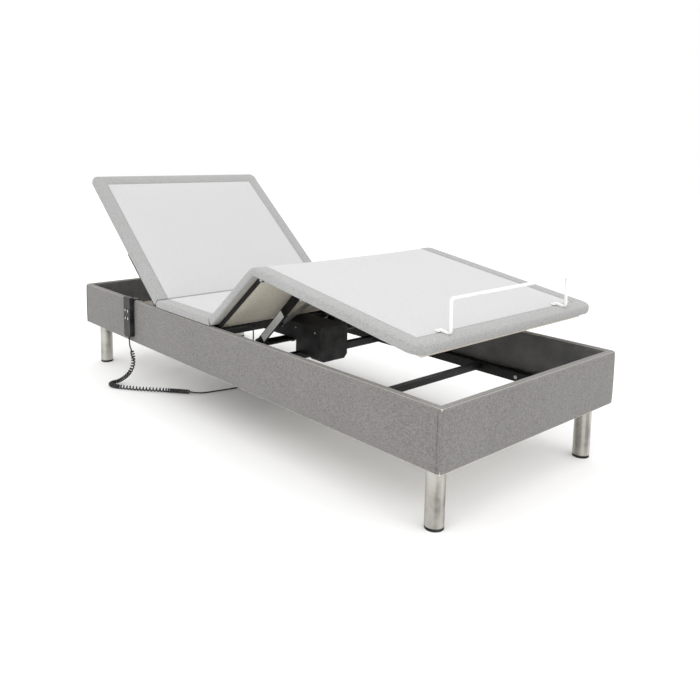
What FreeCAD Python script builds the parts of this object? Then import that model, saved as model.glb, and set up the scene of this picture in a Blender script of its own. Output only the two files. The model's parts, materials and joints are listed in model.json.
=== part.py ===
import FreeCAD, Part
import math
import os
import re
import Sketcher
from FreeCAD import Placement, Rotation, Vector

# Adjustable single bed base: an upholstered box on four steel legs holds a slim steel
# sub-frame, a dual drive and a four-section mattress deck.
# +X runs towards the foot end, -Y is the near side with the handset, +Z is up.
# The origin lies on the floor under the middle of the box.  The deck is drawn flat and
# each moving section is then turned to the raised rest position.

DIMENSIONS = [
    ("box_length", 1930, "outside length of the upholstered box"),
    ("box_width", 800, "outside width of the box and of the deck"),
    ("box_height", 163, "height of the upholstered rails"),
    ("leg_height", 169, "floor to the underside of the box"),
    ("cover_skin", 3, "fabric and fleece over the boards"),
    ("board_thick", 18, "rail board thickness"),
    ("lining_thick", 2, "dark felt inside the rails"),
    ("lining_low", 199.5, "lower edge of the felt"),
    ("corner_round", 10, "upright corner radius of the cover"),
    ("block_side", 60, "corner block side"),
    ("block_height", 56, "corner block height"),
    ("leg_radius", 25, "leg tube outer radius"),
    ("leg_wall", 2, "leg tube wall"),
    ("leg_inset", 60, "leg centre to the outer faces of the box"),
    ("glide_height", 8, "visible height of the glide"),
    ("stud_radius", 4, "M8 leg stud"),
    ("rail_wide", 35, "frame rail width"),
    ("rail_high", 30, "frame rail height"),
    ("tube_wall", 2, "frame tube wall"),
    ("cross_small", 20, "light cross tube side"),
    ("cross_large", 25, "drive cross tube side"),
    ("head_tube_x", -700, "light cross tube near the head"),
    ("foot_tube_x", 510, "light cross tube near the foot"),
    ("drive_tube_head_x", -405.5, "drive cross tube, head side"),
    ("drive_tube_foot_x", 32.5, "drive cross tube, foot side"),
    ("screw_radius", 3, "frame screw"),
    ("pad_thick", 28, "upholstered pad over each board"),
    ("panel_board", 12, "panel board thickness"),
    ("pivot_rise", 18, "hinge pin height above the boards"),
    ("back_pivot_x", -362, "back hinge"),
    ("thigh_pivot_x", -11, "thigh hinge"),
    ("back_length", 675, "back section from its hinge"),
    ("thigh_length", 295, "thigh section from hinge to knee"),
    ("calf_length", 655, "calf section from the knee"),
    ("back_board_reach", 566, "back board end from its hinge"),
    ("calf_board_reach", 636, "calf board end from the knee"),
    ("back_angle", 39.3, "back raised at rest"),
    ("thigh_angle", 40.6, "thigh raised at rest"),
    ("knee_angle", 49.5, "calf turned against the thigh at rest"),
    ("crease_gap", 2, "pad end to hinge axis"),
    ("crease_cut", 5.5, "bevel that lets the pads close"),
    ("knee_gap", 1, "pad end to knee axis"),
    ("head_round", 25, "plan corner radius at the head"),
    ("foot_round", 40, "plan corner radius at the foot"),
    ("board_narrow", 359.5, "half width of the seat and calf boards"),
    ("board_wide", 365, "half width of the back and thigh boards"),
    ("arm_thick", 5, "hinge arm thickness"),
    ("arm_high", 14, "hinge arm height"),
    ("back_arm_high", 45, "back arm height"),
    ("back_arm_reach", 300, "back arm length"),
    ("calf_arm_reach", 250, "calf arm length"),
    ("eye_radius", 8, "hinge eye"),
    ("pin_radius", 4, "hinge pin"),
    ("pin_head", 6.5, "hinge pin head radius"),
    ("running_gap", 0.05, "radial clearance on turning pins and shafts"),
    ("shaft_radius", 12.5, "torsion tube outer radius"),
    ("shaft_wall", 3, "torsion tube wall"),
    ("shaft_height", 229, "torsion tube centre above the floor"),
    ("leg_shaft_x", -50, "leg torsion tube"),
    ("back_shaft_x", -323, "back torsion tube"),
    ("shaft_half", 357, "torsion tube half length"),
    ("bearing_wide", 100, "bearing plate width"),
    ("bearing_thick", 8, "bearing plate thickness"),
    ("lever_reach", 285, "lever from shaft to roller"),
    ("lever_wide", 30, "lever bar width"),
    ("lever_thick", 6, "lever bar thickness"),
    ("lever_side", 170, "lever distance from the middle"),
    ("roller_radius", 16, "roller radius"),
    ("roller_wide", 20, "roller width"),
    ("roller_pin", 5, "roller pin radius"),
    ("leg_lever_angle", 44.2, "leg lever above level at rest"),
    ("back_lever_angle", 42.4, "back lever above level at rest"),
    ("crank_thick", 8, "crank plate thickness"),
    ("crank_wide", 16, "crank plate width"),
    ("crank_reach", 58, "crank plate length from the shaft centre"),
    ("crank_side", 14, "inner face of a crank plate from the middle"),
    ("leg_crank_tilt", 13.3, "leg crank past upright at rest"),
    ("back_crank_tilt", 9.25, "back crank past upright at rest"),
    ("link_pivot_x", -10, "calf link pivot on the seat"),
    ("link_pivot_z", 298, "calf link pivot height"),
    ("link_side", 100, "calf link distance from the middle"),
    ("link_reach", 333.9, "calf link length between centres"),
    ("link_wide", 15, "calf link width"),
    ("link_thick", 5, "calf link thickness"),
    ("link_angle", 33.75, "calf link above level at rest"),
    ("link_pin", 5, "calf link pin radius"),
    ("link_slot", 9, "open eye at the calf end of the link"),
    ("lug_ahead", 40, "calf lug pin ahead of the knee"),
    ("lug_drop", 30, "calf lug pin below the board"),
    ("drive_half", 62, "drive housing half width"),
    ("drive_head", -529, "drive housing, head end"),
    ("drive_foot", 156, "drive housing, foot end"),
    ("drive_low", 245, "drive housing underside"),
    ("drive_split", 275, "joint between the housing shells"),
    ("drive_top", 305, "drive housing top"),
    ("drive_wall", 3, "drive housing wall"),
    ("hanger_inset", 3, "hanger inside the housing's sides"),
    ("motor_low", 186, "underside of the motor wells"),
    ("motor_well", 63, "motor well length"),
    ("motor_radius", 26, "motor can radius"),
    ("well_bevel", 14, "bevel along the motor wells"),
    ("spindle_radius", 7, "drive spindle radius"),
    ("spindle_height", 275, "spindle centre above the floor"),
    ("nut_length", 40, "pushing nut length"),
    ("nut_half", 30, "pushing nut half width"),
    ("nut_high", 20, "pushing nut height"),
    ("leg_nut_x", -48.7, "pushing face of the leg nut at rest"),
    ("back_nut_x", -327.8, "pushing face of the back nut at rest"),
    ("retainer_radius", 4.5, "mattress retainer rod radius"),
    ("retainer_half", 262, "retainer half width"),
    ("retainer_high", 88, "retainer height above the pad"),
    ("retainer_bend", 9, "retainer bend radius"),
    ("retainer_foot", 600, "retainer foot hole from the knee"),
    ("retainer_post", 638, "retainer post from the knee"),
    ("retainer_lean", 16, "how far the retainer leans towards the knee"),
    ("handset_x", -550.5, "handset centre"),
    ("handset_wide", 49, "handset width"),
    ("handset_low", 190, "handset lower end"),
    ("handset_high", 343, "handset upper end"),
    ("handset_shell", 9, "thickness of each handset shell"),
    ("handset_back_y", -403, "handset back face"),
    ("handset_wall", 2, "handset shell wall"),
    ("handset_low_round", 12, "outline corner radius at the lower end"),
    ("handset_high_round", 4, "outline corner radius at the upper end"),
    ("hook_thick", 3, "handset hook strip"),
    ("hook_wide", 30, "handset hook width"),
    ("hook_drop", 32, "outer leg of the hook below the rail top"),
    ("button_wide", 15, "button width"),
    ("button_high", 17, "button height"),
    ("button_gap", 0.4, "gap round a button"),
    ("button_proud", 1, "button above the shell"),
    ("button_pitch", 20.5, "distance between button columns"),
    ("button_row_low", 262, "lower row of buttons"),
    ("button_row_high", 292, "upper row of buttons"),
    ("cord_radius", 2.5, "handset cord radius"),
    ("coil_radius", 8.5, "outer radius of the curly stretch"),
    ("gland_x", -262, "cord gland on the drive"),
    ("gland_y", -40, "cord gland on the drive"),
]

doc = FreeCAD.newDocument("adjustable_bed_base")
sheet = doc.addObject("Spreadsheet::Sheet", "Dims")
for row, (alias, number, note) in enumerate(DIMENSIONS, start=1):
    sheet.set(f"A{row}", str(number))
    sheet.setAlias(f"A{row}", alias)
    sheet.set(f"B{row}", note)
doc.recompute()

ALIASES = {alias for alias, number, note in DIMENSIONS}
SIDES = {"near": -1, "far": 1}
nodes = []


def size(alias):
    """The number that the sheet holds for a dimension."""
    return float(sheet.get(alias))


def formula(text):
    """An expression with every dimension named in it pointed at the sheet."""
    return re.sub(r"[a-z][a-z_]*", lambda word: sheet_name(word.group(0)), str(text))


def sheet_name(word):
    return f"Dims.{word}" if word in ALIASES else word


def worth(text):
    """The value of an expression of dimensions, for places that take a plain number."""
    return float(sheet.evalExpression(formula(text)))


def bind(thing, prop, text):
    thing.setExpression(prop, formula(text))


def slab(label, x_range, y_range, z_range):
    """A rectangular block between three pairs of expressions."""
    block = doc.addObject("Part::Box", label)
    for prop, axis, (low, high) in zip(
        ("Length", "Width", "Height"), "xyz", (x_range, y_range, z_range)
    ):
        bind(block, prop, f"({high}) - ({low})")
        bind(block, f"Placement.Base.{axis}", low)
    return block


def side_range(inner, outer, side):
    """A Y range on the near (-1) or the far (+1) side of the middle."""
    return (inner, outer) if side > 0 else (f"-({outer})", f"-({inner})")


def rod(label, radius, start, length, axis="z"):
    """A cylinder from a start point along a row axis."""
    turns = {
        "x": Rotation(Vector(0, 1, 0), 90),
        "y": Rotation(Vector(1, 0, 0), -90),
        "z": Rotation(),
    }
    bar = doc.addObject("Part::Cylinder", label)
    bar.Placement = Placement(Vector(), turns[axis])
    bind(bar, "Radius", radius)
    bind(bar, "Height", length)
    for letter, text in zip("xyz", start):
        bind(bar, f"Placement.Base.{letter}", text)
    return bar


def side_rod(label, radius, x, z, inner, outer, side):
    """A cylinder along Y between two distances from the middle, on one side."""
    low, high = side_range(inner, outer, side)
    return rod(label, radius, (x, low, z), f"({high}) - ({low})", "y")


def fuse(label, pieces):
    joined = doc.addObject("Part::MultiFuse", label)
    joined.Shapes = pieces
    return joined


def cut(label, base, tools):
    pared = doc.addObject("Part::Cut", label)
    pared.Base = base
    pared.Tool = tools[0] if len(tools) == 1 else fuse(f"{label}_tools", tools)
    return pared


def group(label, pieces):
    """Several separate solids that share one node."""
    bundle = doc.addObject("Part::Compound", label)
    bundle.Links = pieces
    return bundle


def both_sides(label, build):
    """The near and the far copy of a piece, as one node of two solids."""
    return group(label, [build(f"{label}_{word}", side) for word, side in SIDES.items()])


def rounded(label, base, wanted, radius):
    """Fillets the edges of a piece that a test picks out."""
    doc.recompute()
    fillet = doc.addObject("Part::Fillet", label)
    fillet.Base = base
    numbers = [i for i, edge in enumerate(base.Shape.Edges, start=1) if wanted(edge)]
    fillet.Edges = [(i, size(radius), size(radius)) for i in numbers]
    return fillet


def upright_at(x, half_width):
    """Picks the vertical edges at one X and both side faces."""

    def test(edge):
        box = edge.BoundBox
        flat = box.XLength + box.YLength < 0.01
        return flat and abs(box.XMin - x) < 0.01 and abs(abs(box.YMin) - half_width) < 0.01

    return test


def side_profile(label, outline, width):
    """A body padded both ways from the middle plane, from an outline of (x, z) texts."""
    body = doc.addObject("PartDesign::Body", label)
    sketch = body.newObject("Sketcher::SketchObject", f"{label}_outline")
    plane = [f for f in body.Origin.OriginFeatures if f.Role == "XZ_Plane"][0]
    sketch.AttachmentSupport = (plane, "")
    sketch.MapMode = "FlatFace"
    corners = [Vector(worth(x), worth(z), 0) for x, z in outline]
    count = len(corners)
    for i in range(count):
        sketch.addGeometry(Part.LineSegment(corners[i], corners[(i + 1) % count]), False)
    for i in range(count):
        sketch.addConstraint(Sketcher.Constraint("Coincident", i, 2, (i + 1) % count, 1))
    for i, (x, z) in enumerate(outline):
        for kind, text in (("DistanceX", x), ("DistanceY", z)):
            rule = Sketcher.Constraint(kind, -1, 1, i, 1, worth(text))
            number = sketch.addConstraint(rule)
            bind(sketch, f"Constraints[{number}]", text)
    pad = body.newObject("PartDesign::Pad", f"{label}_pad")
    pad.Profile = sketch
    pad.Midplane = True
    bind(pad, "Length", width)
    return body


def route_wire(points, radii=None):
    """Straight runs joined by tangent arcs.  Returns the wire and the arc radii."""
    edges = []
    used = []
    start = points[0]
    for i in range(1, len(points) - 1):
        back = points[i - 1] - points[i]
        ahead = points[i + 1] - points[i]
        half_turn = (math.pi - back.getAngle(ahead)) / 2
        if radii:
            radius = radii
        else:
            radius = 0.45 * min(back.Length, ahead.Length) / math.tan(half_turn)
        reach = radius * math.tan(half_turn)
        back.normalize()
        ahead.normalize()
        first = points[i] + back * reach
        last = points[i] + ahead * reach
        inward = (back + ahead).normalize()
        centre = points[i] + inward * (radius / math.cos(half_turn))
        middle = centre - inward * radius
        edges.append(Part.LineSegment(start, first).toShape())
        edges.append(Part.Arc(first, middle, last).toShape())
        start = last
        used.append(radius)
    edges.append(Part.LineSegment(start, points[-1]).toShape())
    return Part.Wire(edges), used


def round_bar(label, points, radius, bend=None):
    """A round bar or cord swept along a route, with its volume checked."""
    wire, used = route_wire(points, bend)
    heading = (points[1] - points[0]).normalize()
    ring = Part.Wire(Part.Circle(points[0], heading, radius).toShape())
    solid = wire.makePipeShell([ring], True, False)
    feature = doc.addObject("Part::Feature", label)
    feature.Shape = solid
    expected = math.pi * radius**2 * wire.Length
    print(f"{label}: length {wire.Length:.1f}, volume ratio {solid.Volume / expected:.4f}")
    if not bend:
        print("  arc radii", [round(value, 1) for value in used])
    return feature


def turned(x, z, angle, axis_y=1):
    """A turn about a Y axis through (x, z).  Positive lifts the head end."""
    return Placement(Vector(), Rotation(Vector(0, axis_y, 0), angle), Vector(x, 0, z))


def node(thing, label=None, place=None):
    """Registers a finished sub-part, moved to its place at rest."""
    if label:
        thing.Label = label
    if place:
        thing.Placement = place
    nodes.append(thing)
    return thing


# ---- levels shared by several sub-parts -------------------------------------------
BOX_TOP = "(leg_height + box_height)"
BOARD_LOW = f"({BOX_TOP} - panel_board)"
PAD_TOP = f"({BOX_TOP} + pad_thick)"
PIVOT_Z = f"({BOX_TOP} + pivot_rise)"
KNEE_X = "(thigh_pivot_x + thigh_length)"
FRAME_TOP = "(leg_height + rail_high)"
HALF_LENGTH = "(box_length / 2)"
HALF_WIDTH = "(box_width / 2)"
BOARD_FACE_X = f"({HALF_LENGTH} - cover_skin)"
BOARD_FACE_Y = f"({HALF_WIDTH} - cover_skin)"
INNER_X = f"({BOARD_FACE_X} - board_thick)"
INNER_Y = f"({BOARD_FACE_Y} - board_thick)"
RAIL_IN = f"({INNER_Y} - rail_wide)"
ENDS = {"head": -1, "foot": 1}

back_turn = turned(worth("back_pivot_x"), worth(PIVOT_Z), size("back_angle"))
thigh_turn = turned(worth("thigh_pivot_x"), worth(PIVOT_Z), -size("thigh_angle"))
knee_turn = turned(worth(KNEE_X), worth(BOARD_LOW), size("knee_angle"))
calf_turn = thigh_turn * knee_turn


# ---- upholstered box ------------------------------------------------------------------
SCREW_X = ("-660", "-240", "240", "660")
SCREW_Z = "(leg_height + rail_high / 2)"


def side_board(label, side):
    plank = slab(
        f"{label}_plank",
        (f"-{BOARD_FACE_X}", BOARD_FACE_X),
        side_range(INNER_Y, BOARD_FACE_Y, side),
        ("leg_height", f"{BOX_TOP} - cover_skin"),
    )
    holes = [
        side_rod(f"{label}_hole{i}", "screw_radius", x, SCREW_Z, f"{INNER_Y} - 1",
                 f"{INNER_Y} + 12", side)
        for i, x in enumerate(SCREW_X)
    ]
    return cut(label, plank, holes)


def end_board(label, side):
    return slab(
        label,
        side_range(INNER_X, BOARD_FACE_X, side),
        (f"-{INNER_Y}", INNER_Y),
        ("leg_height", f"{BOX_TOP} - cover_skin"),
    )


node(both_sides("side_boards", side_board))
node(group("end_boards", [end_board(f"{word}_end_board", s) for word, s in ENDS.items()]))

cover_outer = rounded(
    "cover_outer",
    slab(
        "cover_block",
        (f"-{HALF_LENGTH}", HALF_LENGTH),
        (f"-{HALF_WIDTH}", HALF_WIDTH),
        ("leg_height", BOX_TOP),
    ),
    upright_at(-worth(HALF_LENGTH), worth(HALF_WIDTH)),
    "corner_round",
)
cover_outer = rounded(
    "cover_outer_foot",
    cover_outer,
    upright_at(worth(HALF_LENGTH), worth(HALF_WIDTH)),
    "corner_round",
)
cover_hollow = slab(
    "cover_hollow",
    (f"-{BOARD_FACE_X}", BOARD_FACE_X),
    (f"-{BOARD_FACE_Y}", BOARD_FACE_Y),
    ("leg_height - 1", f"{BOX_TOP} - cover_skin"),
)
cover_mouth = slab(
    "cover_mouth",
    (f"-{INNER_X}", INNER_X),
    (f"-{INNER_Y}", INNER_Y),
    ("leg_height", f"{BOX_TOP} + 1"),
)
node(cut("box_cover", cover_outer, [cover_hollow, cover_mouth]))


def side_lining(label, side):
    """A felt strip with its lower corners cut away round the corner blocks."""
    felt = slab(
        f"{label}_felt",
        (f"-{INNER_X} + lining_thick", f"{INNER_X} - lining_thick"),
        side_range(f"{INNER_Y} - lining_thick", INNER_Y, side),
        ("lining_low", f"{BOX_TOP} - cover_skin"),
    )
    corners_cut = [
        slab(
            f"{label}_{word}_corner",
            side_range(f"{INNER_X} - block_side", INNER_X, end),
            side_range(f"{INNER_Y} - lining_thick - 1", f"{INNER_Y} + 1", side),
            ("lining_low - 1", "leg_height + block_height"),
        )
        for word, end in ENDS.items()
    ]
    return cut(label, felt, corners_cut)


def end_lining(label, side):
    return slab(
        label,
        side_range(f"{INNER_X} - lining_thick", INNER_X, side),
        (f"-{INNER_Y}", INNER_Y),
        ("leg_height + block_height", f"{BOX_TOP} - cover_skin"),
    )


linings = [side_lining(f"{word}_lining", s) for word, s in SIDES.items()]
linings += [end_lining(f"{word}_lining", s) for word, s in ENDS.items()]
node(group("inner_lining", linings))


# ---- legs -----------------------------------------------------------------------------
LEG_X = f"({HALF_LENGTH} - leg_inset)"
LEG_Y = f"({HALF_WIDTH} - leg_inset)"


def corners():
    """Name and signs of the four corners."""
    return [(f"{e}_{s}", ENDS[e], SIDES[s]) for e in ENDS for s in SIDES]


def at_corner(x_sign, y_sign, z):
    return (f"{x_sign} * {LEG_X}", f"{y_sign} * {LEG_Y}", z)


def corner_block(name, x_sign, y_sign):
    block = slab(
        f"block_body_{name}",
        side_range(f"{INNER_X} - block_side", INNER_X, x_sign),
        side_range(f"{INNER_Y} - block_side", INNER_Y, y_sign),
        ("leg_height", "leg_height + block_height"),
    )
    start = at_corner(x_sign, y_sign, "leg_height - 1")
    bore = rod(f"block_bore_{name}", "stud_radius", start, "block_height + 2")
    return cut(f"block_{name}", block, [bore])


def leg(name, x_sign, y_sign):
    outer = rod(
        f"leg_outer_{name}",
        "leg_radius",
        at_corner(x_sign, y_sign, "glide_height"),
        "leg_height - glide_height",
    )
    inner = rod(
        f"leg_inner_{name}",
        "leg_radius - leg_wall",
        at_corner(x_sign, y_sign, "glide_height - 1"),
        "leg_height - glide_height - 4",
    )
    start = at_corner(x_sign, y_sign, "leg_height - 10")
    bore = rod(f"leg_bore_{name}", "stud_radius", start, "20")
    return cut(f"leg_{name}", outer, [inner, bore])


def glide(name, x_sign, y_sign):
    foot = rod(
        f"glide_foot_{name}",
        "leg_radius - 0.5",
        at_corner(x_sign, y_sign, "0"),
        "glide_height",
    )
    plug = rod(
        f"glide_plug_{name}",
        "leg_radius - leg_wall",
        at_corner(x_sign, y_sign, "glide_height"),
        "16",
    )
    return fuse(f"glide_{name}", [foot, plug])


def stud(name, x_sign, y_sign):
    shank = rod(
        f"stud_shank_{name}",
        "stud_radius",
        at_corner(x_sign, y_sign, "leg_height - 12"),
        "block_height",
    )
    nut = rod(
        f"stud_nut_{name}",
        "2 * stud_radius",
        at_corner(x_sign, y_sign, "leg_height - 12"),
        "7",
    )
    return fuse(f"stud_{name}", [shank, nut])


for label, make in (
    ("corner_blocks", corner_block),
    ("legs", leg),
    ("leg_glides", glide),
    ("leg_studs", stud),
):
    node(group(label, [make(*corner) for corner in corners()]))


# ---- steel sub-frame ------------------------------------------------------------------
def hollow_bar(label, x_range, y_range, z_range, along):
    """A square tube along X or Y: the block less its bore."""
    outer = slab(f"{label}_outer", x_range, y_range, z_range)
    ranges = [x_range, y_range, z_range]
    for i, axis in enumerate("xyz"):
        low, high = ranges[i]
        inset = "-1" if axis == along else "tube_wall"
        ranges[i] = (f"{low} + ({inset})", f"{high} - ({inset})")
    inner = slab(f"{label}_inner", *ranges)
    return outer, inner


def frame_rail(label, side):
    outer, inner = hollow_bar(
        label,
        (f"-{INNER_X} + block_side", f"{INNER_X} - block_side"),
        side_range(RAIL_IN, INNER_Y, side),
        ("leg_height", FRAME_TOP),
        "x",
    )
    holes = [
        side_rod(f"{label}_hole{i}", "screw_radius", x, SCREW_Z, f"{RAIL_IN} - 1",
                 f"{INNER_Y} + 1", side)
        for i, x in enumerate(SCREW_X)
    ]
    return cut(label, outer, [inner] + holes)


def cross_tube(label, centre, side_length):
    outer, inner = hollow_bar(
        label,
        (f"{centre} - {side_length} / 2", f"{centre} + {side_length} / 2"),
        (f"-{RAIL_IN}", RAIL_IN),
        (f"{FRAME_TOP} - {side_length}", FRAME_TOP),
        "y",
    )
    return cut(label, outer, [inner])


def frame_screw(label, x, side):
    shank = side_rod(f"{label}_shank", "screw_radius", x, SCREW_Z, RAIL_IN,
                     f"{INNER_Y} + 11", side)
    head = side_rod(f"{label}_head", "2 * screw_radius", x, SCREW_Z, f"{RAIL_IN} - 3",
                    RAIL_IN, side)
    return fuse(label, [shank, head])


node(both_sides("frame_rails", frame_rail))
node(group("cross_tubes", [
    cross_tube("head_cross_tube", "head_tube_x", "cross_small"),
    cross_tube("drive_tube_head", "drive_tube_head_x", "cross_large"),
    cross_tube("drive_tube_foot", "drive_tube_foot_x", "cross_large"),
    cross_tube("foot_cross_tube", "foot_tube_x", "cross_small"),
]))
node(group("frame_screws", [
    frame_screw(f"frame_screw_{word}{i}", x, side)
    for word, side in SIDES.items()
    for i, x in enumerate(SCREW_X)
]))


# ---- deck boards and pads -------------------------------------------------------------
def board(label, start, end, half, place=None):
    plank = slab(f"{label}_plank", (start, end), (f"-{half}", half), (BOARD_LOW, BOX_TOP))
    return node(group(label, [plank]), place=place)


def crease_end(pivot, direction):
    """The three outline corners where a pad meets a hinge crease."""
    edge = f"{pivot} + {direction} * crease_gap"
    top = f"{edge} + {direction} * crease_cut"
    return [(edge, BOX_TOP), (edge, PIVOT_Z), (top, PAD_TOP)]


def square_end(x):
    return [(x, BOX_TOP), (x, PAD_TOP)]


def eye_notches(label, pivot):
    """Room in a pad for the hinge eyes at both sides of one crease."""
    return [
        slab(
            f"{label}_{word}",
            (f"{pivot} - 13", f"{pivot} + 13"),
            side_range("board_narrow - 3", "board_wide + arm_thick + 4", side),
            (f"{BOX_TOP} - 1", f"{PAD_TOP} + 1"),
        )
        for word, side in SIDES.items()
    ]


def pad_body(label, left, right):
    """A pad from the outlines of its two ends, each given from the bottom up."""
    return side_profile(label, left + right[::-1], "box_width")


board("seat_board", "back_pivot_x + 6", "thigh_pivot_x - 6", "board_narrow")
board("back_board", "back_pivot_x - back_board_reach", "back_pivot_x - 16", "board_wide",
      back_turn)
board("thigh_board", "thigh_pivot_x + 16", f"{KNEE_X} - 9", "board_wide", thigh_turn)
board("calf_board", f"{KNEE_X} + 9", f"{KNEE_X} + calf_board_reach", "board_narrow",
      calf_turn)

seat_body = pad_body(
    "seat_pad_body", crease_end("back_pivot_x", "1"), crease_end("thigh_pivot_x", "-1")
)
seat_notches = eye_notches("seat_head_notch", "back_pivot_x")
seat_notches += eye_notches("seat_foot_notch", "thigh_pivot_x")
node(cut("seat_pad", seat_body, seat_notches))

back_body = pad_body(
    "back_pad_body",
    square_end("back_pivot_x - back_length"),
    crease_end("back_pivot_x", "-1"),
)
back_round = rounded(
    "back_pad_round",
    back_body,
    upright_at(worth("back_pivot_x - back_length"), worth(HALF_WIDTH)),
    "head_round",
)
hook_recess = slab(
    "hook_recess",
    ("handset_x - hook_wide / 2 - 5", "handset_x + hook_wide / 2 + 5"),
    (f"-{HALF_WIDTH} - 1", f"-{HALF_WIDTH} + 32"),
    (f"{BOX_TOP} - 1", f"{BOX_TOP} + hook_thick + 1.5"),
)
back_cuts = eye_notches("back_notch", "back_pivot_x") + [hook_recess]
node(cut("back_pad", back_round, back_cuts), place=back_turn)

thigh_body = pad_body(
    "thigh_pad_body", crease_end("thigh_pivot_x", "1"), square_end(f"{KNEE_X} - knee_gap")
)
node(cut("thigh_pad", thigh_body, eye_notches("thigh_notch", "thigh_pivot_x")),
     place=thigh_turn)

calf_body = pad_body(
    "calf_pad_body", square_end(f"{KNEE_X} + knee_gap"), square_end(f"{KNEE_X} + calf_length")
)
calf_round = rounded(
    "calf_pad_round",
    calf_body,
    upright_at(worth(f"{KNEE_X} + calf_length"), worth(HALF_WIDTH)),
    "foot_round",
)
retainer_slots = [
    slab(
        f"retainer_slot_{word}",
        (f"{KNEE_X} + retainer_foot - 6", f"{KNEE_X} + retainer_foot + 14"),
        side_range("retainer_half - 6", "retainer_half + 6", side),
        (f"{BOX_TOP} - 1", f"{PAD_TOP} + 1"),
    )
    for word, side in SIDES.items()
]
node(cut("calf_pad", calf_round, retainer_slots), place=calf_turn)


# ---- hinge arms and pins --------------------------------------------------------------
ARM_LOW = f"({BOX_TOP} - arm_high)"
ARM_TOP = f"({BOX_TOP} - 0.3)"
NARROW_ARM = ("board_narrow", "board_narrow + arm_thick")
WIDE_ARM = ("board_wide", "board_wide + arm_thick")
OUTER_FACE = WIDE_ARM[1]


def arm(label, bars, eyes, layer, side, bore):
    """A flat hinge arm: bars as (x range, z range), eyes as (x, z)."""
    reach = side_range(*layer, side)
    pieces = [
        slab(f"{label}_bar{i}", x_range, reach, z_range)
        for i, (x_range, z_range) in enumerate(bars)
    ]
    holes = []
    for i, (x, z) in enumerate(eyes):
        pieces.append(side_rod(f"{label}_eye{i}", "eye_radius", x, z, *layer, side))
        holes.append(
            side_rod(f"{label}_bore{i}", bore[i], x, z, f"{layer[0]} - 1",
                     f"{layer[1]} + 1", side)
        )
    return cut(label, fuse(f"{label}_blank", pieces), holes)


def neck(pivot):
    """The upright part of an arm under a crease pin."""
    return ((f"{pivot} - eye_radius", f"{pivot} + eye_radius"), (ARM_LOW, PIVOT_Z))


def seat_arm(label, side):
    span = (("back_pivot_x - eye_radius", "thigh_pivot_x + eye_radius"), (ARM_LOW, ARM_TOP))
    bars = [span, neck("back_pivot_x"), neck("thigh_pivot_x")]
    eyes = [("back_pivot_x", PIVOT_Z), ("thigh_pivot_x", PIVOT_Z)]
    return arm(label, bars, eyes, NARROW_ARM, side, ["pin_radius"] * 2)


def back_arm(label, side):
    span = (
        ("back_pivot_x - back_arm_reach", "back_pivot_x - eye_radius - 12"),
        (f"{BOX_TOP} - back_arm_high", ARM_TOP),
    )
    tongue = (("back_pivot_x - 40", "back_pivot_x + eye_radius"), (ARM_LOW, ARM_TOP))
    eyes = [("back_pivot_x", PIVOT_Z)]
    bore = ["pin_radius + running_gap"]
    return arm(label, [span, tongue, neck("back_pivot_x")], eyes, WIDE_ARM, side, bore)


def thigh_arm(label, side):
    span = (("thigh_pivot_x - eye_radius", KNEE_X), (ARM_LOW, ARM_TOP))
    eyes = [("thigh_pivot_x", PIVOT_Z), (KNEE_X, BOARD_LOW)]
    bore = ["pin_radius + running_gap", "pin_radius"]
    return arm(label, [span, neck("thigh_pivot_x")], eyes, WIDE_ARM, side, bore)


def calf_arm(label, side):
    span = ((KNEE_X, f"{KNEE_X} + calf_arm_reach"), (ARM_LOW, ARM_TOP))
    eyes = [(KNEE_X, BOARD_LOW)]
    return arm(label, [span], eyes, NARROW_ARM, side, ["pin_radius + running_gap"])


def hinge_pin(label, x, z, side):
    shank = side_rod(f"{label}_shank", "pin_radius", x, z, "board_narrow - 1.5",
                     f"{OUTER_FACE} + 0.3", side)
    head = side_rod(f"{label}_head", "pin_head", x, z, f"{OUTER_FACE} + 0.3",
                    f"{OUTER_FACE} + 2.3", side)
    return fuse(label, [shank, head])


node(both_sides("seat_arms", seat_arm))
node(both_sides("back_arms", back_arm), place=back_turn)
node(both_sides("thigh_arms", thigh_arm), place=thigh_turn)
node(both_sides("calf_arms", calf_arm), place=calf_turn)
node(group("hinge_pins", [
    hinge_pin(f"hinge_pin_{name}_{word}", x, PIVOT_Z, side)
    for name, x in (("back", "back_pivot_x"), ("thigh", "thigh_pivot_x"))
    for word, side in SIDES.items()
]))
node(
    both_sides("knee_pins", lambda label, side: hinge_pin(label, KNEE_X, BOARD_LOW, side)),
    place=thigh_turn,
)


# ---- torsion tubes, levers and rollers ------------------------------------------------
def shaft_bearing(label, shaft_x, side):
    """A plate that stands on the frame rail, carries the seat and holds a torsion tube."""
    span = (f"{shaft_x} - bearing_wide / 2", f"{shaft_x} + bearing_wide / 2")
    plate_y = side_range("shaft_half - bearing_thick", "shaft_half", side)
    plate = slab(f"{label}_plate", span, plate_y, (FRAME_TOP, BOARD_LOW))
    flange_y = side_range("shaft_half - 40", "shaft_half", side)
    flange = slab(f"{label}_flange", span, flange_y, (f"{BOARD_LOW} - 4", BOARD_LOW))
    bore = side_rod(f"{label}_bore", "shaft_radius + running_gap", shaft_x, "shaft_height",
                    "shaft_half - bearing_thick - 1", "shaft_half + 1", side)
    return cut(label, fuse(f"{label}_blank", [plate, flange]), [bore])


def torsion_tube(label, shaft_x):
    start = (shaft_x, "-shaft_half", "shaft_height")
    outer = rod(f"{label}_outer", "shaft_radius", start, "2 * shaft_half", "y")
    inner = rod(f"{label}_inner", "shaft_radius - shaft_wall", start, "2 * shaft_half", "y")
    return cut(label, outer, [inner])


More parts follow.
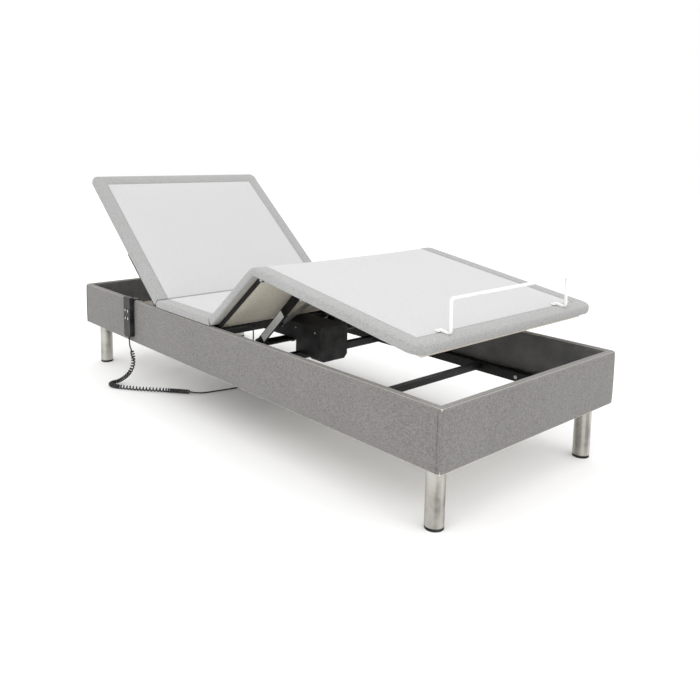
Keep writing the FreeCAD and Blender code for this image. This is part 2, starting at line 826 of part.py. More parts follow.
def lever(label, shaft_x, way, side):
    """A lever bar with its hub round the tube and the roller pin at its tip."""
    tip = f"{shaft_x} + {way} * lever_reach"
    low, high = (shaft_x, tip) if way > 0 else (tip, shaft_x)
    inner, outer = "lever_side - lever_thick / 2", "lever_side + lever_thick / 2"
    middle = "shaft_height"
    bar = slab(
        f"{label}_bar",
        (low, high),
        side_range(inner, outer, side),
        (f"{middle} - lever_wide / 2", f"{middle} + lever_wide / 2"),
    )
    hub = side_rod(f"{label}_hub", "shaft_radius + 7", shaft_x, middle, inner, outer, side)
    end = side_rod(f"{label}_end", "lever_wide / 2", tip, middle, inner, outer, side)
    bore = side_rod(f"{label}_bore", "shaft_radius", shaft_x, middle, f"{inner} - 1",
                    f"{outer} + 1", side)
    blank = cut(f"{label}_blank", fuse(f"{label}_flat", [bar, hub, end]), [bore])
    pin = side_rod(f"{label}_pin", "roller_pin", tip, middle,
                   "lever_side - lever_thick / 2 - roller_wide - 3", inner, side)
    return fuse(label, [blank, pin])


def crank(label, shaft_x, side):
    """A short plate on the tube that the drive's nut pushes."""
    layer = ("crank_side", "crank_side + crank_thick")
    plate = slab(
        f"{label}_plate",
        (f"{shaft_x} - crank_wide / 2", f"{shaft_x} + crank_wide / 2"),
        side_range(*layer, side),
        ("shaft_height", "shaft_height + crank_reach"),
    )
    hub = side_rod(f"{label}_hub", "shaft_radius + 3", shaft_x, "shaft_height", *layer, side)
    bore = side_rod(f"{label}_bore", "shaft_radius", shaft_x, "shaft_height",
                    "crank_side - 1", "crank_side + crank_thick + 1", side)
    return cut(label, fuse(f"{label}_blank", [plate, hub]), [bore])


def roller(label, shaft_x, way, side):
    tip = f"{shaft_x} + {way} * lever_reach"
    outer = "lever_side - lever_thick / 2 - 1.5"
    inner = f"{outer} - roller_wide"
    tread = side_rod(f"{label}_tread", "roller_radius", tip, "shaft_height", inner, outer,
                     side)
    bore = side_rod(f"{label}_bore", "roller_pin + running_gap", tip, "shaft_height",
                    f"{inner} - 1", f"{outer} + 1", side)
    return cut(label, tread, [bore])


def shaft_set(name, way):
    """Everything that turns with one torsion tube.  way is +1 towards the foot."""
    shaft_x = f"{name}_shaft_x"
    centre = (size(shaft_x), size("shaft_height"))
    lever_turn = turned(*centre, -way * size(f"{name}_lever_angle"))
    crank_turn = turned(*centre, -way * size(f"{name}_crank_tilt"))
    node(torsion_tube(f"{name}_shaft", shaft_x))
    levers = [lever(f"{name}_lever_{w}", shaft_x, way, s) for w, s in SIDES.items()]
    raised_levers = group(f"{name}_lever_pair", levers)
    raised_levers.Placement = lever_turn
    cranks = [crank(f"{name}_crank_{w}", shaft_x, s) for w, s in SIDES.items()]
    raised_cranks = group(f"{name}_crank_pair", cranks)
    raised_cranks.Placement = crank_turn
    node(group(f"{name}_levers", [raised_levers, raised_cranks]))
    rollers = [roller(f"{name}_roller_{w}", shaft_x, way, s) for w, s in SIDES.items()]
    node(group(f"{name}_rollers", rollers), place=lever_turn)


shaft_set("leg", 1)
shaft_set("back", -1)
node(group("shaft_bearings", [
    shaft_bearing(f"{name}_bearing_{word}", f"{name}_shaft_x", side)
    for name in ("leg", "back")
    for word, side in SIDES.items()
]))


# ---- calf links -----------------------------------------------------------------------
def lug(label, x, pin_z, side):
    """A hanging plate with a welded pin that points to the middle."""
    face = "link_side + link_thick / 2 + 1"
    plate = slab(
        f"{label}_plate",
        (f"{x} - 22", f"{x} + 3"),
        side_range(face, f"{face} + 5", side),
        (f"{pin_z} - 8", BOARD_LOW),
    )
    eye = side_rod(f"{label}_eye", "eye_radius", x, pin_z, face, f"{face} + 5", side)
    pin = side_rod(f"{label}_pin", "link_pin", x, pin_z, "link_side - link_thick / 2 - 4",
                   f"{face} + 1", side)
    return fuse(label, [plate, eye, pin])


def calf_link(label, side):
    layer = ("link_side - link_thick / 2", "link_side + link_thick / 2")
    tip = "link_pivot_x + link_reach"
    bar = slab(
        f"{label}_bar",
        ("link_pivot_x", tip),
        side_range(*layer, side),
        ("link_pivot_z - link_wide / 2", "link_pivot_z + link_wide / 2"),
    )
    hub = side_rod(f"{label}_hub", "link_pin + 5", "link_pivot_x", "link_pivot_z", *layer,
                   side)
    end = side_rod(f"{label}_end", "link_slot + 4", tip, "link_pivot_z", *layer, side)
    holes = [
        side_rod(f"{label}_bore{i}", radius, x, "link_pivot_z", f"{layer[0]} - 1",
                 f"{layer[1]} + 1", side)
        for i, (x, radius) in enumerate(
            (("link_pivot_x", "link_pin + running_gap"), (tip, "link_slot"))
        )
    ]
    return cut(label, fuse(f"{label}_blank", [bar, hub, end]), holes)


def seat_lug(label, side):
    return lug(label, "link_pivot_x", "link_pivot_z", side)


def calf_lug(label, side):
    return lug(label, f"{KNEE_X} + lug_ahead", f"{BOARD_LOW} - lug_drop", side)


node(both_sides("seat_lugs", seat_lug))
node(both_sides("calf_lugs", calf_lug), place=calf_turn)
node(
    both_sides("calf_links", calf_link),
    place=turned(size("link_pivot_x"), size("link_pivot_z"), -size("link_angle")),
)


# ---- dual drive -----------------------------------------------------------------------
HOUSING_Y = ("-drive_half", "drive_half")
INSIDE_Y = ("-drive_half + drive_wall", "drive_half - drive_wall")
HOUSING_X = ("drive_head", "drive_foot")
INSIDE_X = ("drive_head + drive_wall", "drive_foot - drive_wall")
WELLS = {
    "head": ("drive_head", "drive_head + motor_well"),
    "foot": ("drive_foot - motor_well", "drive_foot"),
}


def bevelled_well(name):
    """One motor well with bevelled lower edges along the housing."""
    well = slab(f"well_{name}", WELLS[name], HOUSING_Y, ("motor_low", "drive_split"))
    doc.recompute()
    low = size("motor_low")
    numbers = [
        i
        for i, edge in enumerate(well.Shape.Edges, start=1)
        if edge.BoundBox.ZMax < low + 0.01 and edge.BoundBox.XLength > 1
    ]
    bevel = doc.addObject("Part::Chamfer", f"well_bevel_{name}")
    bevel.Base = well
    bevel.Edges = [(i, size("well_bevel"), size("well_bevel")) for i in numbers]
    return bevel


def well_hollow(name):
    low, high = WELLS[name]
    return slab(
        f"well_hollow_{name}",
        (f"{low} + drive_wall", f"{high} - drive_wall"),
        ("-motor_radius - 2", "motor_radius + 2"),
        ("motor_low + drive_wall", "drive_split"),
    )


def crank_window(name):
    """The opening in the housing floor that the cranks reach through."""
    return slab(
        f"crank_window_{name}",
        (f"{name}_shaft_x - 40", f"{name}_shaft_x + 40"),
        ("-crank_side - crank_thick - 4", "crank_side + crank_thick + 4"),
        ("drive_low - 1", "drive_low + drive_wall + 1"),
    )


tray = slab("tray", HOUSING_X, HOUSING_Y, ("drive_low", "drive_split"))
tray_hollow = slab(
    "tray_hollow", INSIDE_X, INSIDE_Y, ("drive_low + drive_wall", "drive_split + 1")
)
lower_blank = fuse("lower_blank", [tray, bevelled_well("head"), bevelled_well("foot")])
node(cut("drive_lower_shell", lower_blank, [
    tray_hollow,
    well_hollow("head"),
    well_hollow("foot"),
    crank_window("leg"),
    crank_window("back"),
]))
lid = slab("lid", HOUSING_X, HOUSING_Y, ("drive_split", "drive_top"))
lid_hollow = slab("lid_hollow", INSIDE_X, INSIDE_Y, ("drive_split - 1", "drive_top - drive_wall"))
node(cut("drive_upper_shell", lid, [lid_hollow]))


HANGERS = {
    "head": ("drive_tube_head_x - cross_large / 2", "drive_tube_head_x + cross_large / 2"),
    "foot": ("drive_tube_foot_x - cross_large / 2", f"{WELLS['foot'][0]} - 1"),
}


def hanger(name):
    """A box channel, open towards both ends of the bed, between a cross tube and the drive."""
    low, high = HANGERS[name]
    outside = slab(f"hanger_{name}", (low, high),
                   ("-drive_half + hanger_inset", "drive_half - hanger_inset"),
                   (FRAME_TOP, "drive_low"))
    inside = slab(
        f"hanger_inside_{name}",
        (f"{low} - 1", f"{high} + 1"),
        ("-drive_half + hanger_inset + drive_wall", "drive_half - hanger_inset - drive_wall"),
        (f"{FRAME_TOP} + drive_wall", "drive_low - drive_wall"),
    )
    return cut(f"hanger_channel_{name}", outside, [inside])


node(group("drive_hangers", [hanger(name) for name in ENDS]))


def motor(label, end):
    """Gear case with its motor can hanging in the well."""
    low, high = WELLS[end]
    centre = f"(({low}) + ({high})) / 2"
    case = slab(
        f"{label}_case",
        (f"{low} + drive_wall + 1", f"{high} - drive_wall - 1"),
        ("-40", "40"),
        ("drive_low + drive_wall + 1", "drive_top - drive_wall - 1"),
    )
    can = rod(f"{label}_can", "motor_radius", (centre, "0", "motor_low + drive_wall + 1"),
              "drive_low - motor_low")
    socket = rod(
        f"{label}_socket",
        "spindle_radius + running_gap",
        (f"{low} - 1", "0", "spindle_height"),
        "motor_well + 2",
        "x",
    )
    return node(cut(label, fuse(f"{label}_blank", [case, can]), [socket]))


motor("leg_motor", "foot")
motor("back_motor", "head")


def spindle(label, start, end):
    return node(
        group(label, [rod(f"{label}_rod", "spindle_radius", (start, "0", "spindle_height"),
                          f"({end}) - ({start})", "x")])
    )


spindle("leg_spindle", "leg_shaft_x - 20", "drive_foot - 20")
spindle("back_spindle", "drive_head + 20", "back_shaft_x + 20")


def nut(label, start, end):
    """A wide block on the spindle whose end face pushes both cranks."""
    block = slab(
        f"{label}_block",
        (start, end),
        ("-nut_half", "nut_half"),
        ("spindle_height - nut_high / 2", "spindle_height + nut_high / 2"),
    )
    bore = rod(f"{label}_bore", "spindle_radius + running_gap",
               (f"{start} - 1", "0", "spindle_height"), "nut_length + 2", "x")
    return node(cut(label, block, [bore]))


nut("leg_nut", "leg_nut_x", "leg_nut_x + nut_length")
nut("back_nut", "back_nut_x - nut_length", "back_nut_x")

inlet_block = slab(
    "inlet_block", ("drive_head - 14", "drive_head"), ("-16", "16"), ("253", "275")
)
inlet_socket = slab(
    "inlet_socket", ("drive_head - 15", "drive_head - 3"), ("-12", "12"), ("257", "271")
)
node(cut("mains_inlet", inlet_block, [inlet_socket]))

GLAND_LENGTH = 14
gland_start = ("gland_x", "gland_y", f"drive_low - {GLAND_LENGTH}")
node(group("cord_gland", [rod("gland_body", "7", gland_start, GLAND_LENGTH)]))


# ---- mattress retainer ----------------------------------------------------------------
def retainer_points():
    knee = worth(KNEE_X)
    half = size("retainer_half")
    foot_x = knee + size("retainer_foot")
    post_x = knee + size("retainer_post")
    low = worth(BOX_TOP)
    deck = worth(PAD_TOP) + size("retainer_radius") + 0.3
    high = deck + size("retainer_high")
    near = [
        Vector(foot_x, -half, low),
        Vector(foot_x, -half, deck),
        Vector(post_x, -half, deck),
        Vector(post_x - size("retainer_lean"), -half, high),
    ]
    far = [Vector(p.x, -p.y, p.z) for p in reversed(near)]
    return near + far


node(
    round_bar("retainer_bar", retainer_points(), size("retainer_radius"),
              size("retainer_bend")),
    place=calf_turn,
)


# ---- handset --------------------------------------------------------------------------
SHELL_X = ("handset_x - handset_wide / 2", "handset_x + handset_wide / 2")
SHELL_JOINT = "handset_back_y - handset_shell"
SHELL_FRONT = "handset_back_y - 2 * handset_shell"
CAVITY_X = ("handset_x - handset_wide / 2 + 3.5", "handset_x + handset_wide / 2 - 3.5")
CAVITY_Z = ("handset_low + 20", "handset_high - 7")
BUTTONS = {
    "button_back_up": (-1, "button_row_high"),
    "button_back_down": (-1, "button_row_low"),
    "button_leg_up": (1, "button_row_high"),
    "button_leg_down": (1, "button_row_low"),
}


def outline_edges(z):
    """Picks the two edges that run front to back at one end of the handset."""

    def test(edge):
        box = edge.BoundBox
        return abs(box.ZMin - z) < 0.01 and box.ZLength + box.XLength < 0.01

    return test


def handset_half(label, y_range):
    block = slab(f"{label}_block", SHELL_X, y_range, ("handset_low", "handset_high"))
    lower = rounded(
        f"{label}_lower", block, outline_edges(size("handset_low")), "handset_low_round"
    )
    return rounded(
        f"{label}_upper", lower, outline_edges(size("handset_high")), "handset_high_round"
    )


def button_range(column, grow):
    """X range of a button in one column, grown on each side."""
    centre = f"handset_x + {column} * button_pitch / 2"
    reach = f"button_wide / 2 + {grow}"
    return (f"{centre} - ({reach})", f"{centre} + ({reach})")


def button_heights(row, grow):
    reach = f"button_high / 2 + {grow}"
    return (f"{row} - ({reach})", f"{row} + ({reach})")


def button(label, column, row):
    cap = slab(
        f"{label}_cap",
        button_range(column, "0"),
        (f"{SHELL_FRONT} - button_proud", f"{SHELL_FRONT} + handset_wall"),
        button_heights(row, "0"),
    )
    flange = slab(
        f"{label}_flange",
        button_range(column, "1.4"),
        (f"{SHELL_FRONT} + handset_wall", f"{SHELL_FRONT} + handset_wall + 1.5"),
        button_heights(row, "1.4"),
    )
    return fuse(label, [cap, flange])


front_blank = handset_half("handset_front", (SHELL_FRONT, SHELL_JOINT))
front_cuts = [
    slab("front_cavity", CAVITY_X, (f"{SHELL_FRONT} + handset_wall", f"{SHELL_JOINT} + 1"),
         CAVITY_Z)
]
front_cuts += [
    slab(
        f"{name}_opening",
        button_range(column, "button_gap"),
        (f"{SHELL_FRONT} - 1", f"{SHELL_FRONT} + handset_wall + 1"),
        button_heights(row, "button_gap"),
    )
    for name, (column, row) in BUTTONS.items()
]
node(cut("handset_front_shell", front_blank, front_cuts))

back_blank = handset_half("handset_back", (SHELL_JOINT, "handset_back_y"))
back_cavity = slab(
    "back_cavity", CAVITY_X, (f"{SHELL_JOINT} - 1", "handset_back_y - handset_wall"), CAVITY_Z
)
node(cut("handset_back_shell", back_blank, [back_cavity]))

for name, (column, row) in BUTTONS.items():
    node(button(name, column, row))

HOOK_X = ("handset_x - hook_wide / 2", "handset_x + hook_wide / 2")
PRONG_Y = f"(-{INNER_Y} + lining_thick)"
node(fuse("handset_hook", [
    slab("hook_outer", HOOK_X, (f"-{HALF_WIDTH} - hook_thick", f"-{HALF_WIDTH}"),
         (f"{BOX_TOP} - hook_drop", f"{BOX_TOP} + hook_thick")),
    slab("hook_over", HOOK_X, (f"-{HALF_WIDTH} - hook_thick", f"{PRONG_Y} + hook_thick"),
         (BOX_TOP, f"{BOX_TOP} + hook_thick")),
    slab("hook_inner", HOOK_X, (PRONG_Y, f"{PRONG_Y} + hook_thick"),
         (f"{BOX_TOP} - 17", f"{BOX_TOP} + hook_thick")),
]))

BOOT_LENGTH = 12
boot_start = ("handset_x", SHELL_JOINT, f"handset_low - {BOOT_LENGTH}")
boot = doc.addObject("Part::Cone", "boot_cone")
bind(boot, "Radius1", "cord_radius + 0.8")
bind(boot, "Radius2", "5")
bind(boot, "Height", BOOT_LENGTH)
for letter, text in zip("xyz", boot_start):
    bind(boot, f"Placement.Base.{letter}", text)
node(group("handset_boot", [boot]))


# ---- handset cord ---------------------------------------------------------------------
# Plain lead out of the handset, a curly stretch that hangs to the floor and lies along
# it, then a plain lead under the bed and up to the gland on the drive.
boot_end = Vector(worth("handset_x"), worth(SHELL_JOINT), worth("handset_low") - BOOT_LENGTH)
coil_start = Vector(-524, -417.5, 143.5)
coil_end = Vector(-313, -290, 9)
gland_end = Vector(worth("gland_x"), worth("gland_y"), worth("drive_low") - GLAND_LENGTH)
UPPER_ROUTE = [
    boot_end,
    Vector(-549.8, -412.5, 168.5),
    Vector(-544.5, -414, 158),
    Vector(-535, -416, 149.5),
    coil_start,
]
COIL_ROUTE = [
    coil_start,
    Vector(-509, -420, 133),
    Vector(-500, -422, 113),
    Vector(-502, -424, 89),
    Vector(-515, -426, 68),
    Vector(-532, -428, 50),
    Vector(-551, -430, 36),
    Vector(-568, -434, 24),
    Vector(-582, -441, 14),
    Vector(-590, -455, 9.5),
    Vector(-588, -471, 9),
    Vector(-576, -481, 9),
    Vector(-558, -481, 9),
    Vector(-539, -473, 9),
    Vector(-511, -456, 9),
    Vector(-467, -424, 9),
    Vector(-417, -379, 9),
    Vector(-364, -331, 9),
    coil_end,
]
LOWER_ROUTE = [
    coil_end,
    Vector(-298, -277, 6.5),
    Vector(-288, -250, 3),
    Vector(-279, -210, 3),
    Vector(-268, -167, 3),
    Vector(-261, -121, 3),
    Vector(-259, -85, 4),
    Vector(-259, -60, 14),
    Vector(-260, -46, 38),
    Vector(-261, -40, 72),
    Vector(-262, -40, 120),
    Vector(-262, -41, 176),
    gland_end,
]
node(round_bar("cord_upper", UPPER_ROUTE, size("cord_radius")))
node(round_bar("cord_coil", COIL_ROUTE, size("coil_radius")))
node(round_bar("cord_lower", LOWER_ROUTE, size("cord_radius")))


# ---- check and export -----------------------------------------------------------------
doc.recompute()
for thing in doc.Objects:
    if "Invalid" in thing.State or "Error" in thing.State:
        raise RuntimeError(f"{thing.Label} did not compute")
os.makedirs("parts", exist_ok=True)
for thing in nodes:
    if thing.Shape.isNull() or not thing.Shape.isValid():
        raise RuntimeError(f"{thing.Label} has no valid shape")
    thing.Shape.exportStep(f"parts/{thing.Label}.step")
    box = thing.Shape.BoundBox
    print(
        f"{thing.Label}: {len(thing.Shape.Solids)} solids, X {box.XMin:.1f}..{box.XMax:.1f},"
        f" Y {box.YMin:.1f}..{box.YMax:.1f}, Z {box.ZMin:.1f}..{box.ZMax:.1f}"
    )
print(len(nodes), "sub-parts")
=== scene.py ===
"""Looks of an adjustable single bed base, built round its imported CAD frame."""

import json
import math

import bmesh
import bpy
from bpy.props import FloatProperty, FloatVectorProperty, PointerProperty
from mathutils import Matrix, Vector


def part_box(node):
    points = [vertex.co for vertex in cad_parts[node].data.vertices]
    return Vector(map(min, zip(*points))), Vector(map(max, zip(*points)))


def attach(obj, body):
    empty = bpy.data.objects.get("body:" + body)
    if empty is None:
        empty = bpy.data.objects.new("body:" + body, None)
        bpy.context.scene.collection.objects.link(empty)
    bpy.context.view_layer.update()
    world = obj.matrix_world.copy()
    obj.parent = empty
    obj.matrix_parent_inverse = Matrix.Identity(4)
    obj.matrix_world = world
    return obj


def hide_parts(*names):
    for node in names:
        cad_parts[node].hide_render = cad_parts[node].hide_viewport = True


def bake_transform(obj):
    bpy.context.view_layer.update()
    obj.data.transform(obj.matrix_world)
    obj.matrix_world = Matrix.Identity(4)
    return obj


bl_info = {
    "name": "Adjustable Bed Base",
    "version": (1, 0, 0),
    "blender": (4, 5, 0),
    "location": "View3D > Sidebar > Bed Base",
    "description": "Upholstery, finishes, cord and studio for an adjustable bed base",
    "category": "Object",
}

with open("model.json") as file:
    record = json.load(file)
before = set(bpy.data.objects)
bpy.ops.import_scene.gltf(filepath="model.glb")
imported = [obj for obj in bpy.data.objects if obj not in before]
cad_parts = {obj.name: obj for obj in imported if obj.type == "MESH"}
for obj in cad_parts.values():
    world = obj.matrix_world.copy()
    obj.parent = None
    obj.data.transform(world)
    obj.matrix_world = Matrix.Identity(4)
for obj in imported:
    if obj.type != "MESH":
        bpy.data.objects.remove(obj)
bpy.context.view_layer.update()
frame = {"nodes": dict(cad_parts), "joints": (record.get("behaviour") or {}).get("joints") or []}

BASE = "bed_base"
BACK = "back_section"
CALF = "calf_section"

# Slopes of the raised sections at rest.
BACK_SLOPE = math.radians(39.3)
THIGH_SLOPE = math.radians(40.6)
CALF_SLOPE = math.radians(8.9)


def hinge_point(name):
    """Where a joint's axis crosses the middle of the bed."""
    place = next(j for j in frame["joints"] if j["name"] == name)["pos_m"]
    return Vector((place[0], 0, place[2]))


# ---- property groups ------------------------------------------------------------------
def colour(label, about, rgb):
    """A colour property given in display values from 0 to 255."""
    return FloatVectorProperty(name=label, description=about, subtype="COLOR", size=3, min=0,
                               max=1, default=display(*rgb))


def length(label, about, metres):
    return FloatProperty(name=label, description=about, default=metres, min=0,
                         subtype="DISTANCE", unit="LENGTH")


def linear(value):
    """Display value to scene linear."""
    part = value / 255
    return part / 12.92 if part <= 0.04045 else ((part + 0.055) / 1.055) ** 2.4


def display(*rgb):
    """A scene linear colour from display values."""
    return [linear(v) for v in rgb]


class BoxLooks(bpy.types.PropertyGroup):
    fabric: colour("Box fabric", "Main colour of the heathered box cover", (138, 136, 133))
    fabric_dark: colour("Box fabric yarn", "Darker yarn in the box cover", (96, 94, 93))
    felt: colour("Felt", "Dark felt inside the rails", (88, 88, 88))
    crown: length("Side fullness", "How far the cover stands out between its edges", 0.0008)
    edge_round: length("Edge rounding", "Radius of the box cover's top edge", 0.010)


class PadLooks(bpy.types.PropertyGroup):
    border: colour("Border", "Light grey melange border", (177, 177, 176))
    border_dark: colour("Border yarn", "Darker yarn in the border", (138, 138, 138))
    inset: colour("Inset", "Off-white middle of each pad", (201, 201, 202))
    inset_dark: colour("Inset yarn", "Darker yarn in the inset", (189, 189, 190))
    underside: colour("Underside", "Plain cloth below the pads", (178, 174, 164))
    swell: length("Swell", "Most that the padding may swell", 0.004)


class CordLooks(bpy.types.PropertyGroup):
    jacket: colour("Jacket", "Cord jacket", (27, 27, 28))
    length: length("Cord length", "Whole length of the cord, coiled part unrolled", 2.67)
    thickness: length("Thickness", "Diameter of the cord", 0.005)
    coil_diameter: length("Coil diameter", "Outer diameter of the curly stretch", 0.017)


class MetalLooks(bpy.types.PropertyGroup):
    leg: colour("Legs", "Satin steel of the legs", (176, 174, 167))
    frame_paint: colour("Frame paint", "Satin black of the steelwork", (14, 14, 15))
    retainer: colour("Retainer", "White paint of the mattress retainer", (236, 236, 234))
    zinc: colour("Zinc", "Plated links, pins and screws", (176, 178, 180))


class StageLooks(bpy.types.PropertyGroup):
    backdrop: colour("Backdrop", "Floor and wall of the studio", (250, 250, 250))
    key_power: FloatProperty(name="Key light", description="Power of the main soft light",
                             default=30, min=0, subtype="POWER", unit="POWER")
    sky_glow: FloatProperty(name="Overhead glow", description="Brightness straight above",
                            default=1.5, min=0)
    fill_power: FloatProperty(name="Fill light", description="Power of the fill light",
                              default=14, min=0, subtype="POWER", unit="POWER")


# ---- finishes -------------------------------------------------------------------------
class Finish:
    """A node material under construction."""

    def __init__(self, name):
        self.material = bpy.data.materials.new(name)
        self.material.use_nodes = True
        self.nodes = self.material.node_tree.nodes
        self.links = self.material.node_tree.links
        self.shader = self.nodes["Principled BSDF"]
        self.place = self.nodes.new("ShaderNodeTexCoord").outputs["Object"]

    def add(self, kind, **settings):
        node = self.nodes.new(kind)
        for key, value in settings.items():
            setattr(node, key, value)
        return node

    def stretch(self, scale):
        """The object's own coordinates, scaled."""
        mapping = self.add("ShaderNodeMapping")
        mapping.inputs["Scale"].default_value = scale
        self.links.new(self.place, mapping.inputs["Vector"])
        return mapping.outputs["Vector"]

    def noise(self, scale, detail=3, where=None, roughness=0.5):
        noise = self.add("ShaderNodeTexNoise")
        noise.inputs["Scale"].default_value = scale
        noise.inputs["Detail"].default_value = detail
        noise.inputs["Roughness"].default_value = roughness
        self.links.new(where or self.place, noise.inputs["Vector"])
        return noise.outputs["Fac"]

    def bands(self, direction, spacing):
        """Slightly uneven ridges across one axis, a given distance apart."""
        wave = self.add("ShaderNodeTexWave", wave_type="BANDS", bands_direction=direction)
        wave.inputs["Scale"].default_value = math.pi / (10 * spacing)
        wave.inputs["Distortion"].default_value = 0.6
        wave.inputs["Detail"].default_value = 1
        self.links.new(self.place, wave.inputs["Vector"])
        return wave.outputs["Fac"]

    def combine(self, first, second, operation="ADD"):
        """Two values, or a value and a number, added or multiplied."""
        math_node = self.add("ShaderNodeMath", operation=operation)
        self.links.new(first, math_node.inputs[0])
        if isinstance(second, (int, float)):
            math_node.inputs[1].default_value = second
        else:
            self.links.new(second, math_node.inputs[1])
        return math_node.outputs["Value"]

    def ramp(self, source, stops):
        """A colour ramp through (position, linear colour) stops."""
        ramp = self.add("ShaderNodeValToRGB")
        elements = ramp.color_ramp.elements
        while len(elements) < len(stops):
            elements.new(0.5)
        for element, (position, rgb) in zip(elements, stops):
            element.position = position
            element.color = (*rgb, 1)
        self.links.new(source, ramp.inputs["Fac"])
        return ramp.outputs["Color"]

    def colour(self, output):
        self.links.new(output, self.shader.inputs["Base Color"])

    def roughness(self, source, low, high):
        spread = self.add("ShaderNodeMapRange")
        spread.inputs["To Min"].default_value = low
        spread.inputs["To Max"].default_value = high
        self.links.new(source, spread.inputs["Value"])
        self.links.new(spread.outputs["Result"], self.shader.inputs["Roughness"])

    def bump(self, height, strength, distance):
        bump = self.add("ShaderNodeBump")
        bump.inputs["Strength"].default_value = strength
        bump.inputs["Distance"].default_value = distance
        self.links.new(height, bump.inputs["Height"])
        self.links.new(bump.outputs["Normal"], self.shader.inputs["Normal"])

    def set(self, **values):
        for key, value in values.items():
            self.shader.inputs[key.replace("_", " ")].default_value = value


def mix(first, second, share):
    return [a * (1 - share) + b * share for a, b in zip(first, second)]


def cloth_finish(name, light, dark, thread, grain, contrast, worn_and_lit_above=None):
    """A heathered plain weave: two yarn colours, slubs along the threads, pilling, and above a
    given height a lighter top edge of wear and painted highlight.
    """
    finish = Finish(name)
    weave = finish.combine(finish.bands("X", thread), finish.bands("Y", thread), "MULTIPLY")
    weave = finish.combine(weave, finish.bands("Z", thread), "ADD")
    specks = finish.noise(grain, 4, roughness=0.75)
    slubs = finish.noise(grain / 2.6, 3, finish.stretch((1, 1, 2.6)), 0.6)
    cross_slubs = finish.noise(grain / 2.6, 3, finish.stretch((2.6, 2.6, 1)), 0.6)
    cloud = finish.noise(4, 2)
    yarn = finish.combine(slubs, cross_slubs)
    yarn = finish.combine(yarn, finish.combine(specks, 1.4, "MULTIPLY"))
    yarn = finish.combine(yarn, finish.combine(cloud, 0.16, "MULTIPLY"))
    yarn = finish.combine(yarn, 0.281, "MULTIPLY")
    # Lighter above the given height: wear, and a painted highlight where overhead light falls on
    # the top edge.
    if worn_and_lit_above is not None:
        height = finish.add("ShaderNodeSeparateXYZ")
        finish.links.new(finish.place, height.inputs[0])
        wear_and_top_highlight = finish.add("ShaderNodeMapRange", interpolation_type="SMOOTHSTEP")
        wear_and_top_highlight.inputs["From Min"].default_value = worn_and_lit_above
        wear_and_top_highlight.inputs["From Max"].default_value = worn_and_lit_above + 0.010
        wear_and_top_highlight.inputs["To Max"].default_value = 0.05
        finish.links.new(height.outputs["Z"], wear_and_top_highlight.inputs["Value"])
        yarn = finish.combine(yarn, wear_and_top_highlight.outputs["Result"])
    finish.colour(finish.ramp(yarn, [
        (0.5 - contrast, dark), (0.5, mix(dark, light, 0.6)), (0.5 + contrast, light)
    ]))
    finish.roughness(specks, 0.82, 0.97)
    finish.bump(finish.combine(weave, specks), 0.4, 0.0007)
    finish.set(Sheen_Weight=0.2, Sheen_Roughness=0.5, Specular_IOR_Level=0.2)
    return finish.material


def felt_finish(name, base):
    finish = Finish(name)
    fibres = finish.noise(900, 5, roughness=0.75)
    blotch = finish.noise(14, 3)
    dark = mix(base, (0, 0, 0), 0.35)
    light = mix(base, (1, 1, 1), 0.07)
    tone = finish.combine(fibres, finish.combine(blotch, 0.3, "MULTIPLY"))
    tone = finish.combine(tone, 0.77, "MULTIPLY")
    finish.colour(finish.ramp(tone, [(0.40, dark), (0.5, base), (0.62, light)]))
    finish.bump(fibres, 0.5, 0.0006)
    finish.roughness(fibres, 0.85, 1.0)
    finish.set(Sheen_Weight=0.3, Specular_IOR_Level=0.2)
    return finish.material


def wood_finish(name, light, dark):
    """Engineered wood: fine grain along the bed with pressed chips."""
    finish = Finish(name)
    grain = finish.noise(4, 6, finish.stretch((6, 90, 90)), 0.6)
    chips = finish.noise(150, 4, finish.stretch((0.5, 1, 1)), 0.7)
    finish.colour(finish.ramp(finish.combine(finish.combine(grain, chips), 0.5, "MULTIPLY"),
                              [(0.38, dark), (0.5, mix(dark, light, 0.6)), (0.6, light)]))
    finish.bump(chips, 0.3, 0.0004)
    finish.roughness(chips, 0.6, 0.85)
    return finish.material


def painted_finish(name, base, rough, wear):
    """Powder coat with orange peel, a little dust and lighter rubbed spots."""
    finish = Finish(name)
    peel = finish.noise(700, 3)
    patches = finish.noise(11, 5, roughness=0.7)
    finish.colour(finish.ramp(patches, [
        (0.3, mix(base, (0, 0, 0), 0.12)), (0.55, base), (0.8, mix(base, (1, 1, 1), wear))
    ]))
    finish.bump(peel, 0.12, 0.0004)
    finish.roughness(patches, rough - 0.06, rough + 0.1)
    finish.set(Specular_IOR_Level=0.3)
    return finish.material


def metal_finish(name, base, rough, along, reflection_and_smudge_contrast=0.1):
    """Brushed or plated steel with fine lines that run along one direction, and colour streaks
    along them: painted reflection, partly brushing.
    """
    finish = Finish(name)
    lines = finish.noise(1, 3, finish.stretch([2200 if v == 0 else 8 for v in along]), 0.6)
    # Painted reflection: darker and lighter streaks of colour along the steel, partly brushing,
    # with smudges.
    bands = finish.noise(1, 2, finish.stretch([48 if v == 0 else 1.2 for v in along]), 0.5)
    smudge = finish.noise(18, 3)
    finish.colour(finish.ramp(finish.combine(finish.combine(bands, smudge), 0.5, "MULTIPLY"), [
        (0.38, mix(base, (0, 0, 0), 3 * reflection_and_smudge_contrast)), (0.5, base),
        (0.62, mix(base, (1, 1, 1), reflection_and_smudge_contrast))
    ]))
    finish.bump(lines, 0.05, 0.0002)
    finish.roughness(finish.combine(lines, smudge, "MULTIPLY"), rough - 0.05, rough + 0.18)
    finish.set(Metallic=1.0)
    return finish.material


